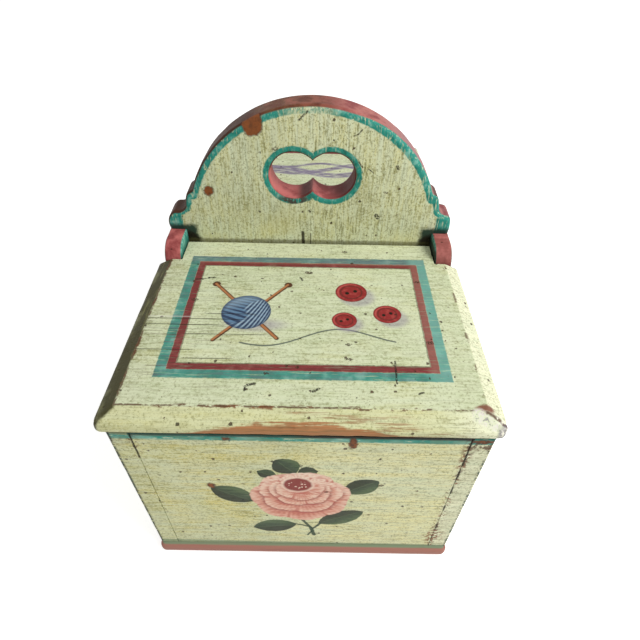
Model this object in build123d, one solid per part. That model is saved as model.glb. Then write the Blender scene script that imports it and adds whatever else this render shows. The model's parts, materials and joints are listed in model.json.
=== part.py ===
from build123d import *
import math
import os

# Sewing carrier with two lids: a plank box split by a tall handle board, with a hinged lid each side.
# Millimetres. X runs across the width, Y along the depth with the front at -Y, and Z is up.
# The origin is the middle of the underside. The front and back halves mirror each other.

# Carcass
box_width = 197.0            # over the outside faces of the side boards
box_depth = 328.0            # front face of the front panel to back face of the back panel
wall_height = 133.0          # side boards and panels above the bottom board
side_thickness = 12.0
panel_thickness = 12.0
corner_round = 1.5           # worn upright corners of the side boards
joint_ease = 0.5             # the panels' upright edges, which leave a fine line at each joint
base_thickness = 11.0
base_lip_end = 3.0           # the bottom board stands out past the front and back
base_lip_side = 1.0
base_round = 4.5
base_corner = 4.0

# Handle board
board_thickness = 20.0
arch_inset = 12.9            # from the sides' outer faces to the arch
arch_rise = 0.5              # arch centre above the tops of the ears
arch_shift = 2.1             # arch, beads and grip hole stand this far right of the middle, as sawn by hand
step_height = 29.5           # quirk under the arch, above the tops of the ears
step_drop = 2.4
bead_height = 17.5           # lower end of the bead under the quirk, above the tops of the ears
bead_width = 2.4
bead_bulge = 0.5
lobe_height = 13.5           # rounded shoulder that sits on each ear
lobe_inset = 3.2
lobe_bulge = 0.3
cove_run = 8.4
cove_depth = 1.5
board_round = 3.0            # worn edges of the handle board
corner_ease = 1.0            # outer corners of its outline, more than the worn edges
quirk_round = 1.5            # inner corners of its outline
hole_radius = 15.5           # the grip hole is two round holes run together
hole_spread = 12.2
hole_rise = 40.9             # above the arch centre
hole_round = 1.5

# Lids
lid_thickness = 12.0
lid_overhang_end = 1.5
lid_overhang_side = 4.6
lid_corner = 4.0
bevel_run = 10.0
bevel_drop = 4.5
nose_round = 4.0
arris_round = 2.5
lid_bottom_round = 3.4
tab_round = 2.5              # top rear edge, next to the handle board
lid_seat_gap = 0.3           # lid above the walls
tab_side_gap = 0.6           # lid tab to each ear
tab_back_gap = 1.2           # lid tab to the handle board
shoulder_gap = 0.6           # lid shoulder to the round of the ear

# Hinges: a nail through each ear into the edge of the lid
pivot_depth = 5.0            # below the top of the lid
pivot_out = 10.0             # in front of the face of the handle board
ear_radius = 13.5
ear_edge_round = 1.5
pin_radius = 1.6
pin_reach = 25.0             # into the lid
pin_clearance = 0.05
pin_end_gap = 0.5
pin_head_radius = 3.2
pin_head_height = 1.0

# Nails
nail_radius = 1.0
nail_length = 34.0
nail_head_radius = 2.2
nail_head_height = 1.0
nails_per_joint = 3
nail_end_margin = 22.0       # first and last nail of a row, from the ends of the joint
base_nails_across = 3
base_nail_margin = 45.0      # outer nails under the panels, from the side boards
base_nails_along = 4

# Places that follow from the sizes
half_width = box_width / 2
half_depth = box_depth / 2
inner_half = half_width - side_thickness
board_face = board_thickness / 2
wall_top = base_thickness + wall_height
lid_bottom = wall_top + lid_seat_gap
lid_top = lid_bottom + lid_thickness
pivot_z = lid_top - pivot_depth
pivot_y = board_face + pivot_out
ear_top = pivot_z + ear_radius
ear_front = pivot_y + ear_radius
arch_z = ear_top + arch_rise
arch_radius = half_width - arch_inset
lid_half = half_width + lid_overhang_side
lid_front = half_depth + lid_overhang_end
lid_shoulder = ear_front + shoulder_gap
tab_half = inner_half - tab_side_gap
tab_back = board_face + tab_back_gap


def nail(length, radius, head_radius, head_height):
    """A nail along +Z with the top of its head at the origin and its point below."""
    head = Pos(0, 0, -head_height / 2) * Cylinder(head_radius, head_height)
    shank = Pos(0, 0, -length / 2) * Cylinder(radius, length)
    return head + shank


def wire_nail():
    """One of the nails that hold the boards together."""
    return nail(nail_length, nail_radius, nail_head_radius, nail_head_height)


def wall_nail(x, y, z):
    """A nail through a side board, its head flush with the outside face on the side of x."""
    turn = 90 if x > 0 else -90
    return Pos(x, y, z) * Rot(0, turn, 0) * wire_nail()


def spread(low, high, count, margin):
    """Places spaced evenly between two ends, the outer ones a margin in from each end."""
    first = low + margin
    pitch = (high - low - 2 * margin) / (count - 1)
    return [first + i * pitch for i in range(count)]


def side_nails(y):
    """The nails that hold one upright board between both side boards, at depth y."""
    heights = spread(base_thickness, wall_top, nails_per_joint, nail_end_margin)
    return [wall_nail(side * half_width, y, z) for side in (-1, 1) for z in heights]


def base_nails():
    """The nails up through the bottom board into the walls."""
    side_x = half_width - side_thickness / 2
    panel_y = half_depth - panel_thickness / 2
    along = spread(-half_depth, half_depth, base_nails_along, nail_end_margin * 2)
    across = spread(-inner_half, inner_half, base_nails_across, base_nail_margin)
    places = [(side * side_x, y) for side in (-1, 1) for y in along]
    places += [(x, end * panel_y) for end in (-1, 0, 1) for x in across]
    return [Pos(x, y, 0) * Rot(180, 0, 0) * wire_nail() for x, y in places]


def cut_all(body, tools):
    """The body with every tool cut out of it."""
    for tool in tools:
        body = body - tool
    return body


def hinge_pin(side, end):
    """The nail that one corner of a lid turns on: side is -1 or 1 in X, end is -1 or 1 in Y."""
    length = pin_head_height + side_thickness + tab_side_gap + pin_reach
    pin = nail(length, pin_radius, pin_head_radius, pin_head_height)
    return Pos(side * (half_width + pin_head_height), end * pivot_y, pivot_z) * Rot(0, side * 90, 0) * pin


def bottom_board():
    """The bottom board, rounded along all its edges."""
    length = box_depth + 2 * base_lip_end
    width = box_width + 2 * base_lip_side
    board = extrude(RectangleRounded(width, length, base_corner), base_thickness)
    rim = board.edges().group_by(Axis.Z)[0] + board.edges().group_by(Axis.Z)[-1]
    return fillet(rim, base_round)


def side_board(side):
    """A side board with the ears that carry the hinges standing up in the middle of its top edge."""
    with BuildLine() as outline:
        Polyline((-ear_front, pivot_z), (-ear_front, wall_top), (-half_depth, wall_top),
                 (-half_depth, base_thickness), (half_depth, base_thickness), (half_depth, wall_top),
                 (ear_front, wall_top), (ear_front, pivot_z))
        RadiusArc((ear_front, pivot_z), (pivot_y, ear_top), -ear_radius)
        Line((pivot_y, ear_top), (-pivot_y, ear_top))
        RadiusArc((-pivot_y, ear_top), (-ear_front, pivot_z), -ear_radius)
    board = extrude(Plane.YZ * make_face(outline.line), side_thickness)
    board = Pos(-half_width if side < 0 else inner_half, 0, 0) * board
    upright = board.edges().filter_by(Axis.Z).filter_by(lambda e: abs(e.center().Y) > half_depth - 1)
    outer = upright.filter_by(lambda e: abs(e.center().X) > half_width - 1)
    board = fillet(outer, corner_round)
    ears = board.edges().filter_by(lambda e: e.center().Z > wall_top + 0.1)
    rim = ears.filter_by(lambda e: min(abs(abs(e.center().X) - x) for x in (half_width, inner_half)) < 0.1)
    return fillet(rim, ear_edge_round)


def panel(end):
    """The front or back panel, between the side boards."""
    y = end * (half_depth - panel_thickness / 2)
    z = base_thickness + wall_height / 2
    board = Pos(0, y, z) * Box(2 * inner_half, panel_thickness, wall_height)
    upright = board.edges().filter_by(Axis.Z).filter_by(lambda e: abs(e.center().Y) > half_depth - 0.1)
    return chamfer(upright, joint_ease)


def midpoint(first, last, right, up):
    """The point halfway between two places, moved right and up."""
    return ((first[0] + last[0]) / 2 + right, (first[1] + last[1]) / 2 + up)


def corners_at(face, *places):
    """The corners of a flat outline that lie at the given places."""
    return face.vertices().filter_by(lambda v: any(math.dist((v.X, v.Y), place) < 0.01 for place in places))


def half_outline(shift):
    """The right half of the shaped top, in X and Z, with the arch's centre moved out by a shift."""
    step_z = ear_top + step_height
    step_x = shift + math.sqrt(arch_radius ** 2 - (step_z - arch_z) ** 2)
    lobe_top = (half_width - lobe_inset + shift, ear_top + lobe_height)
    bead_foot = (lobe_top[0] - cove_run, ear_top + bead_height)
    bead_top = (bead_foot[0] - bead_width, step_z - step_drop)
    bead_mid = midpoint(bead_top, bead_foot, bead_bulge, 0)
    cove_mid = midpoint(bead_foot, lobe_top, -cove_depth / 2, -cove_depth)
    lobe_mid = (half_width + lobe_bulge, ear_top + lobe_height * 0.45)
    middle = (0, arch_z + math.sqrt(arch_radius ** 2 - shift ** 2))
    with BuildLine() as half:
        Line((0, ear_top), (half_width, ear_top))
        ThreePointArc((half_width, ear_top), lobe_mid, lobe_top)
        ThreePointArc(lobe_top, cove_mid, bead_foot)
        ThreePointArc(bead_foot, bead_mid, bead_top)
        Line(bead_top, (step_x, step_z))
        RadiusArc((step_x, step_z), middle, -arch_radius)
        Line(middle, (0, ear_top))
    face = make_face(half.line)
    face = fillet(corners_at(face, bead_top, lobe_top), board_round + corner_ease)
    return fillet(corners_at(face, bead_foot, (step_x, step_z)), quirk_round)


def handle_outline():
    """The shaped top of the handle board, from the tops of the ears up, in X and Z."""
    return half_outline(arch_shift) + mirror(half_outline(-arch_shift), Plane.YZ)


def grip_hole(radius, depth):
    """Two round holes run together, through the handle board."""
    z = arch_z + hole_rise
    one = Rot(90, 0, 0) * Cylinder(radius, depth)
    return Pos(arch_shift - hole_spread, 0, z) * one + Pos(arch_shift + hole_spread, 0, z) * one


def handle_board():
    """The middle board: a tongue down to the bottom board, and a shaped arch with a grip hole above."""
    top = extrude(Plane.XZ * handle_outline(), board_face, both=True)
    faces = top.edges().filter_by(lambda e: abs(e.center().Y) > board_face - 0.01)
    top = fillet(faces.filter_by(lambda e: e.center().Z > ear_top + 0.1), board_round)
    tongue_height = ear_top - base_thickness
    tongue_z = base_thickness + tongue_height / 2
    tongue = Pos(0, 0, tongue_z) * Box(2 * inner_half, board_thickness, tongue_height)
    board = tongue + top - grip_hole(hole_radius, 2 * board_thickness)
    faces = board.edges().filter_by(lambda e: abs(e.center().Y) > board_face - 0.01)
    level = faces.filter_by(lambda e: abs(e.center().Z - arch_z - hole_rise) < hole_radius + 0.1)
    mouth = level.filter_by(lambda e: abs(e.center().X - arch_shift) < hole_spread + hole_radius + 0.1)
    return chamfer(mouth, hole_round)


def level_edges(body, height):
    """The level edges of a body at a height."""
    level = body.edges().filter_by(lambda e: e.bounding_box().size.Z < 0.01)
    return level.filter_by(lambda e: abs(e.center().Z - height) < 0.01)


def lid(end):
    """A lid plank, bevelled on three sides, notched round the ears, with a tab between them."""
    slab_length = lid_front + board_thickness
    centre_y = slab_length / 2 - lid_front
    shoulder = Pos(0, centre_y, lid_top - bevel_drop)
    outer = RectangleRounded(2 * lid_half, slab_length, lid_corner)
    inner = RectangleRounded(2 * (lid_half - bevel_run), slab_length - 2 * bevel_run, lid_corner / 2)
    slab = extrude(Pos(0, centre_y, lid_bottom) * outer, lid_thickness - bevel_drop)
    slab += loft([shoulder * outer, Pos(0, centre_y, lid_top) * inner])
    slab = fillet(level_edges(slab, lid_top - bevel_drop), nose_round)
    slab = fillet(level_edges(slab, lid_top), arris_round)
    slab = fillet(level_edges(slab, lid_bottom), lid_bottom_round)
    with BuildLine() as plan:
        Polyline((-lid_half, -lid_front), (lid_half, -lid_front), (lid_half, -lid_shoulder),
                 (tab_half, -lid_shoulder), (tab_half, -tab_back), (-tab_half, -tab_back),
                 (-tab_half, -lid_shoulder), (-lid_half, -lid_shoulder), close=True)
    plank = slab & (Pos(0, 0, lid_bottom) * extrude(make_face(plan.line), lid_thickness))
    rear = plank.edges().filter_by(Axis.X).filter_by(
        lambda e: abs(e.center().Y + tab_back) < 0.01 and abs(e.center().Z - lid_top) < 0.01)
    plank = fillet(rear, tab_round)
    bore = Rot(0, 90, 0) * Cylinder(pin_radius + pin_clearance, 2 * (pin_reach + pin_end_gap))
    for side in (-1, 1):
        plank = plank - Pos(side * tab_half, -pivot_y, pivot_z) * bore
    return plank if end < 0 else mirror(plank, Plane.XZ)


def build():
    """Every piece of the carrier by name."""
    panel_y = half_depth - panel_thickness / 2
    nails = {"front_panel_nails": side_nails(-panel_y), "back_panel_nails": side_nails(panel_y),
             "handle_board_nails": side_nails(0), "bottom_board_nails": base_nails()}
    pins = {}
    for end_name, end in (("front", -1), ("back", 1)):
        for side_name, side in (("left", -1), ("right", 1)):
            pins[f"{end_name}_{side_name}_hinge_pin"] = hinge_pin(side, end)
    every_nail = [one for row in nails.values() for one in row] + list(pins.values())
    from_below = nails["bottom_board_nails"]
    parts = {"bottom_board": cut_all(bottom_board(), from_below),
             "left_side": cut_all(side_board(-1), every_nail),
             "right_side": cut_all(side_board(1), every_nail),
             "front_panel": cut_all(panel(-1), nails["front_panel_nails"] + from_below),
             "back_panel": cut_all(panel(1), nails["back_panel_nails"] + from_below),
             "handle_board": cut_all(handle_board(), nails["handle_board_nails"] + from_below),
             "front_lid": lid(-1),
             "back_lid": lid(1)}
    parts.update(pins)
    parts.update({name: Compound(children=row) for name, row in nails.items()})
    return parts


os.makedirs("parts", exist_ok=True)
for name, shape in build().items():
    export_step(shape, f"parts/{name}.step")
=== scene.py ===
"""Looks of a painted plank sewing carrier: a handle board with a grip hole between two hinged lids.

Meshes are in metres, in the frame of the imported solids. Paint patterns are worked out in millimetres on
object coordinates: X across the width, Y along the depth, Z up, the front lid towards -Y.
"""
from __future__ import annotations

import json
import logging
import math
from dataclasses import dataclass
from enum import Enum
from typing import Iterable, Sequence, Union

import bmesh
import bpy
from mathutils import Matrix, Vector, noise

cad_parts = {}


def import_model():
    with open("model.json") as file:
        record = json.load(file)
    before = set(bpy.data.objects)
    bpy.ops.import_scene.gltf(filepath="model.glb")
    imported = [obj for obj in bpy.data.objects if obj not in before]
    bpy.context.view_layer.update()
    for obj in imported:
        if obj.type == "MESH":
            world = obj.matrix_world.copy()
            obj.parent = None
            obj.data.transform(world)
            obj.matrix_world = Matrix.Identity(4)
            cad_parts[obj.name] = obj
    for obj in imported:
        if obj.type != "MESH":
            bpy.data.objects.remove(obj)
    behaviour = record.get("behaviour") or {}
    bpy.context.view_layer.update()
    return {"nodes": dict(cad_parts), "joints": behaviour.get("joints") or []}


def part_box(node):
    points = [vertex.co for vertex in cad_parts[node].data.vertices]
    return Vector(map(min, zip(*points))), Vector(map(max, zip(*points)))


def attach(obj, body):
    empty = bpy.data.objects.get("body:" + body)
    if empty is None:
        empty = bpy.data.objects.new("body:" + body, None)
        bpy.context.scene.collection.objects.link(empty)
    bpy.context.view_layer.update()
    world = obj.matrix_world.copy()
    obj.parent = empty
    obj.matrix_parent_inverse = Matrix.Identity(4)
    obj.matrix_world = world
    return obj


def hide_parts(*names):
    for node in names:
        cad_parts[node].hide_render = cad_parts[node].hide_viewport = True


log = logging.getLogger("sewing_carrier")

MM = 0.001
PER_METRE = 1000.0
DULL_PAINT = 0.14


class Tint(Enum):
    """The paints, woods and marks of the carrier, as display colours from 0 to 255."""

    CREAM = (220, 226, 194)
    CELADON = (198, 208, 168)
    SAGE = (196, 200, 152)
    OLIVE = (124, 122, 74)
    DEEP_OLIVE = (82, 80, 48)
    BUTTER = (214, 208, 144)
    TURQUOISE = (46, 140, 126)
    PALE_TURQUOISE = (128, 186, 172)
    DEEP_TEAL = (28, 66, 56)
    ROSE_RED = (132, 58, 58)
    DUSTY_PINK = (196, 112, 108)
    BRICK = (120, 58, 44)
    PLUM_BROWN = (76, 42, 36)
    BARE_WOOD = (176, 118, 76)
    AGED_WOOD = (150, 108, 70)
    DARK_WOOD = (88, 58, 38)
    SOOT = (30, 23, 13)
    GESSO = (228, 224, 216)
    SLATE_MARK = (112, 104, 122)
    LEAF = (42, 64, 46)
    LEAF_LIGHT = (84, 106, 72)
    LEAF_DARK = (24, 38, 28)
    PETAL = (226, 170, 148)
    PETAL_LIGHT = (244, 218, 198)
    PETAL_DEEP = (196, 112, 98)
    ROSE_HEART = (138, 62, 56)
    CRIMSON = (142, 44, 44)
    CRIMSON_LIGHT = (186, 86, 80)
    YARN_BLUE = (96, 128, 158)
    YARN_LIGHT = (164, 188, 204)
    YARN_DARK = (50, 66, 92)
    THREAD = (86, 96, 88)
    VIOLET_GREY = (150, 140, 162)
    IRON = (62, 54, 48)
    RUST = (112, 66, 40)
    WORN_PINK = (178, 112, 104)
    MINT = (186, 216, 176)
    UMBER = (58, 36, 16)
    MAUVE = (146, 112, 116)
    VERDIGRIS = (120, 142, 114)
    PEAT = (54, 50, 22)
    PEARL = (246, 246, 214)
    STRAW = (228, 214, 126)
    PRIMROSE = (242, 236, 178)
    FADED_RED = (170, 122, 108)
    CHESTNUT = (136, 78, 42)
    WHITE = (255, 255, 255)

    @property
    def linear(self) -> tuple[float, float, float, float]:
        """The colour in scene linear values, with full alpha.

        Returns:
            Red, green, blue and alpha.
        """
        parts = [channel / 255 for channel in self.value]
        light = [c / 12.92 if c <= 0.04045 else ((c + 0.055) / 1.055) ** 2.4 for c in parts]
        return (light[0], light[1], light[2], 1.0)


class Grain(Enum):
    """Which way a board's grain and brush marks run: along X, Y or Z."""

    ACROSS = 0
    ALONG = 1
    UPRIGHT = 2

    def squeeze(self, by: float) -> tuple[float, float, float]:
        """The factors that draw a pattern out along the grain."""
        return tuple(by if axis == self.value else 1.0 for axis in range(3))


class Value:
    """A node's output that can be written in sums."""

    def __init__(self, tree: Graph, socket: bpy.types.NodeSocket) -> None:
        """Keeps the socket and the tree that it belongs to."""
        self.tree = tree
        self.socket = socket

    def __add__(self, other: Operand) -> Value:
        """self + other."""
        return self.tree.maths("ADD", self, other)

    def __sub__(self, other: Operand) -> Value:
        """self - other."""
        return self.tree.maths("SUBTRACT", self, other)

    def __rsub__(self, other: Operand) -> Value:
        """other - self."""
        return self.tree.maths("SUBTRACT", other, self)

    def __mul__(self, other: Operand) -> Value:
        """self * other."""
        return self.tree.maths("MULTIPLY", self, other)

    def __truediv__(self, other: Operand) -> Value:
        """self / other."""
        return self.tree.maths("DIVIDE", self, other)

    def __pow__(self, other: Operand) -> Value:
        """self to a power."""
        return self.tree.maths("POWER", self, other)

    def __abs__(self) -> Value:
        """The size of self without its sign."""
        return self.tree.maths("ABSOLUTE", self)

    def __neg__(self) -> Value:
        """self with its sign turned."""
        return self.tree.maths("MULTIPLY", self, -1.0)

    __radd__ = __add__
    __rmul__ = __mul__

    def least(self, other: Operand) -> Value:
        """The smaller of self and other."""
        return self.tree.maths("MINIMUM", self, other)

    def most(self, other: Operand) -> Value:
        """The larger of self and other."""
        return self.tree.maths("MAXIMUM", self, other)

    def sine(self) -> Value:
        """The sine of self."""
        return self.tree.maths("SINE", self)

    def step(self, low: float, high: float, start: float, end: float) -> Value:
        """A smooth step from start, where self is under low, to end, where it is over high."""
        return self.tree.node("ShaderNodeMapRange", {"interpolation_type": "SMOOTHSTEP"},
                              {0: self, 1: low, 2: high, 3: start, 4: end})

    def rise(self, low: float, high: float) -> Value:
        """A smooth step: 0 where self is under low, 1 where it is over high."""
        return self.step(low, high, 0.0, 1.0)

    def fall(self, low: float, high: float) -> Value:
        """A smooth step down: 1 where self is under low, 0 where it is over high."""
        return self.step(low, high, 1.0, 0.0)

    def within(self, low: float, high: float, soft: float) -> Value:
        """1 where self lies between low and high, with soft ends."""
        return self.rise(low - soft, low + soft) * self.fall(high - soft, high + soft)


Operand = Union[Value, float]
Colour = Union[Value, Tint]
Place = tuple[float, float]


@dataclass(frozen=True)
class Oval:
    """An oval on a face: its centre and its radii, in millimetres."""

    across: float
    up: float
    width: float
    height: float

    def grown(self, by: float) -> Oval:
        """The oval with a rim of the given width round it."""
        return Oval(self.across, self.up, self.width + by, self.height + by)


@dataclass(frozen=True)
class Stroke:
    """A straight brush stroke, crack or scratch with round ends, in millimetres."""

    start: Place
    end: Place
    width: float


class Graph:
    """The nodes of a material or a world, made from Python expressions."""

    def __init__(self, holder: bpy.types.Material | bpy.types.World) -> None:
        """Empties the node tree of a material or a world.

        Args:
            holder: The material or the world.
        """
        holder.use_nodes = True
        self.nodes = holder.node_tree.nodes
        self.links = holder.node_tree.links
        self.nodes.clear()

    def node(self, kind: str, settings: dict | None = None, sockets: dict | None = None,
             out: int | str = 0) -> Value:
        """Adds one node.

        Args:
            kind: The node's type.
            settings: Its properties, set before its sockets.
            sockets: The value or link of each input, by name or place.
            out: The output that is wanted, by name or place.

        Returns:
            That output.
        """
        made = self.nodes.new(kind)
        for name, value in (settings or {}).items():
            setattr(made, name, value)
        for key, value in (sockets or {}).items():
            self.feed(made.inputs[key], value)
        return Value(self, made.outputs[out])

    def show(self, surface: Value, output: str = "ShaderNodeOutputMaterial") -> None:
        """Joins a shader to the output."""
        self.feed(self.nodes.new(output).inputs["Surface"], surface)

    def background_rays(self) -> Value:
        """1 for the rays that show what is behind things: seen, mirrored, or through glass.

        Returns:
            The mask.
        """
        rays = self.node("ShaderNodeLightPath").socket.node
        seen, mirrored, through = (
            Value(self, rays.outputs[f"Is {kind} Ray"]) for kind in ("Camera", "Glossy", "Transmission"))
        return seen.most(mirrored).most(through)

    def feed(self, socket: bpy.types.NodeSocket, value: Operand | Tint | Sequence[float]) -> None:
        """Links or sets one input.

        Args:
            socket: The input.
            value: A link, a colour, or a plain value.
        """
        if isinstance(value, Value):
            self.links.new(value.socket, socket)
        elif isinstance(value, Tint):
            socket.default_value = value.linear
        else:
            socket.default_value = value

    def maths(self, operation: str, *terms: Operand) -> Value:
        """One Math node on one to three terms."""
        return self.node("ShaderNodeMath", {"operation": operation}, dict(enumerate(terms)))

    def vector(self, operation: str, first: Value, second: Sequence[float] | Value | None = None,
               scale: float | None = None) -> Value:
        """One Vector Math node.

        Args:
            operation: What the node does.
            first: Its first vector.
            second: Its second vector, if it has one.
            scale: Its scale, if it has one.

        Returns:
            The vector.
        """
        sockets: dict = {0: first}
        if second is not None:
            sockets[1] = second
        if scale is not None:
            sockets["Scale"] = scale
        return self.node("ShaderNodeVectorMath", {"operation": operation}, sockets)

    def mix(self, under: Colour, over: Colour, factor: Operand) -> Value:
        """One colour laid over another by a factor from 0 to 1."""
        return self.node("ShaderNodeMix", {"data_type": "RGBA"}, {0: factor, 6: under, 7: over}, 2)

    def layers(self, under: Colour, *coats: tuple[Colour, Operand]) -> Value:
        """A colour with others laid over it in turn, each by its own factor.

        Args:
            under: The lowest colour.
            coats: Each colour above it, with its factor.

        Returns:
            The colour.
        """
        for over, factor in coats:
            under = self.mix(under, over, factor)
        return under


class Tree(Graph):
    """One material's nodes, with the patterns that old paint and wood are made of."""

    def __init__(self, name: str) -> None:
        """Makes an empty material.

        Args:
            name: The material's name.
        """
        self.material = bpy.data.materials.new(name)
        super().__init__(self.material)
        place = self.node("ShaderNodeTexCoord", out="Object")
        self.point = self.vector("SCALE", place, scale=PER_METRE)
        parts = self.node("ShaderNodeSeparateXYZ", sockets={0: self.point}).socket.node
        self.x, self.y, self.z = (Value(self, parts.outputs[i]) for i in range(3))

    def length(self, a: Value, b: Value) -> Value:
        """The length of a run with the two given legs."""
        return self.maths("SQRT", a * a + b * b)

    def noise(self, point: Value, size: float, detail: float = 2.0, rough: float = 0.5) -> Value:
        """Soft noise about 0.5, in patches of about the given size."""
        return self.node("ShaderNodeTexNoise", {}, {
            "Vector": point, "Scale": 1 / size, "Detail": detail, "Roughness": rough})

    def clouds(self, size: float, detail: float = 2.0, rough: float = 0.5) -> Value:
        """Soft noise about 0.5 with no grain."""
        return self.noise(self.point, size, detail, rough)

    def warp(self, scale: float, detail: float) -> Value:
        """A cloudy colour whose channels can shift a pattern."""
        return self.node("ShaderNodeTexNoise", {}, {
            "Vector": self.point, "Scale": scale, "Detail": detail}, "Color")

    def stretched(self, grain: Grain, shift: float = 0.0, by: float = 0.035,
                  place: Value | None = None) -> Value:
        """The place, squeezed along the grain so that a pattern on it runs in streaks."""
        moved = self.vector("ADD", place or self.point, (shift, shift, shift))
        return self.vector("MULTIPLY", moved, grain.squeeze(by))

    def round_the_box(self) -> Value:
        """The place unrolled round a box's four walls, so that streaks turn its corners."""
        return self.node("ShaderNodeCombineXYZ", {}, {0: self.x + self.y, 2: self.z})

    def wobble(self, size: float, reach: float) -> tuple[Value, Value, Value]:
        """Three offsets that shift a pattern by up to reach, in patches of the given size."""
        parts = self.node("ShaderNodeSeparateColor", sockets={0: self.warp(1 / size, 3.0)}).socket.node
        return tuple((Value(self, parts.outputs[i]) - 0.5) * (2 * reach) for i in range(3))

    def flecks(self, cell: float, chance: float, size: float, squeeze: Sequence[float] = (1, 1, 1),
               shift: float = 0.0) -> Value:
        """Small scattered marks.

        Args:
            cell: How far apart the places are where a mark may be.
            chance: The share of them that hold one.
            size: The largest mark's radius.
            squeeze: How the marks are drawn out along X, Y and Z.
            shift: Moves the whole scatter.

        Returns:
            1 inside a mark.
        """
        place = self.vector("ADD", self.point, self.vector("SCALE", self.warp(0.9, 2.0), scale=1.6))
        place = self.vector("ADD", place, (shift, shift * 0.7, shift * 1.3))
        place = self.vector("MULTIPLY", place, squeeze)
        cells = self.node("ShaderNodeTexVoronoi", {}, {"Vector": place, "Scale": 1 / cell}).socket.node
        luck = self.node("ShaderNodeSeparateColor", sockets={0: Value(self, cells.outputs["Color"])})
        radius = luck.rise(1 - chance, 1.0) * (size / cell)
        away = Value(self, cells.outputs["Distance"])
        return (radius - away).rise(0.0, 0.25 / cell)

    def spot(self, across: Value, up: Value, oval: Oval, soft: float = 0.6) -> Value:
        """1 inside an oval.

        Args:
            across: The place across the face.
            up: The place up the face.
            oval: Its centre and its radii.
            soft: How soft its edge is, in millimetres.

        Returns:
            The mask.
        """
        a = (across - oval.across) / oval.width
        b = (up - oval.up) / oval.height
        edge = soft / min(oval.width, oval.height)
        return self.length(a, b).fall(1 - edge, 1 + edge)

    def stroke(self, across: Value, up: Value, line: Stroke, soft: float = 0.3) -> Value:
        """1 along a straight stroke with round ends.

        Args:
            across: The place across the face.
            up: The place up the face.
            line: The stroke.
            soft: How soft its edge is, in millimetres.

        Returns:
            The mask.
        """
        length = math.dist(line.start, line.end)
        along = ((line.end[0] - line.start[0]) / length, (line.end[1] - line.start[1]) / length)
        a = across - line.start[0]
        b = up - line.start[1]
        run = (a * along[0] + b * along[1]).most(0.0).least(length)
        away = self.length(a - run * along[0], b - run * along[1])
        return away.fall(line.width / 2 - soft, line.width / 2 + soft)


@dataclass
class Coat:
    """A material's paint as it is built up: its colour, and its relief from 0 to 1."""

    tree: Tree
    colour: Value
    height: Value

    def lay(self, over: Colour, mask: Operand) -> None:
        """Lays a colour over the paint where the mask is 1."""
        self.colour = self.tree.mix(self.colour, over, mask)

    def sink(self, mask: Value, by: float) -> None:
        """Lowers the relief where the mask is 1."""
        self.height = self.height - mask * by

    def finish(self, roughness: Operand, depth: float = 0.1, metallic: float = 0.0) -> bpy.types.Material:
        """Joins the layers to a surface.

        Args:
            roughness: From 0 to 1.
            depth: The relief's full depth, in millimetres.
            metallic: From 0 to 1.

        Returns:
            The finished material.
        """
        tree = self.tree
        bump = tree.node("ShaderNodeBump", {}, {
            "Strength": 1.0, "Distance": depth * MM, "Height": self.height})
        surface = tree.node("ShaderNodeBsdfPrincipled", {}, {
            "Base Color": self.colour, "Roughness": roughness, "Metallic": metallic, "Normal": bump,
            "Specular IOR Level": DULL_PAINT})
        tree.show(surface)
        return tree.material


@dataclass(frozen=True)
class Sizes:
    """The carrier's own sizes in millimetres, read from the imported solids."""

    half_width: float
    half_depth: float
    side: float
    panel: float
    base: float
    wall_top: float
    board_face: float
    lid_half: float
    lid_front: float
    lid_bottom: float
    lid_top: float
    tab_back: float
    pivot_y: float
    pivot_z: float
    ear_top: float
    crown: float

    @classmethod
    def from_frame(cls, joints: Sequence[dict]) -> Sizes:
        """Measures the nodes.

        Args:
            joints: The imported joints, which place the hinges.

        Returns:
            The sizes.
        """
        side_low, side_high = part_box("left_side")
        panel_low, panel_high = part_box("front_panel")
        lid_low, lid_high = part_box("front_lid")
        board_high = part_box("handle_board")[1]
        base_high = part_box("bottom_board")[1]
        hinge = next(j for j in joints if j["child"] == "front_lid")["pos_m"]
        scaled = [PER_METRE * value for value in (
            -side_low.x, -side_low.y, side_high.x - side_low.x, panel_high.y - panel_low.y,
            base_high.z, panel_high.z, board_high.y, lid_high.x, -lid_low.y, lid_low.z, lid_high.z,
            -lid_high.y, -hinge[1], hinge[2], side_high.z, board_high.z)]
        return cls(*scaled)


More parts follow.
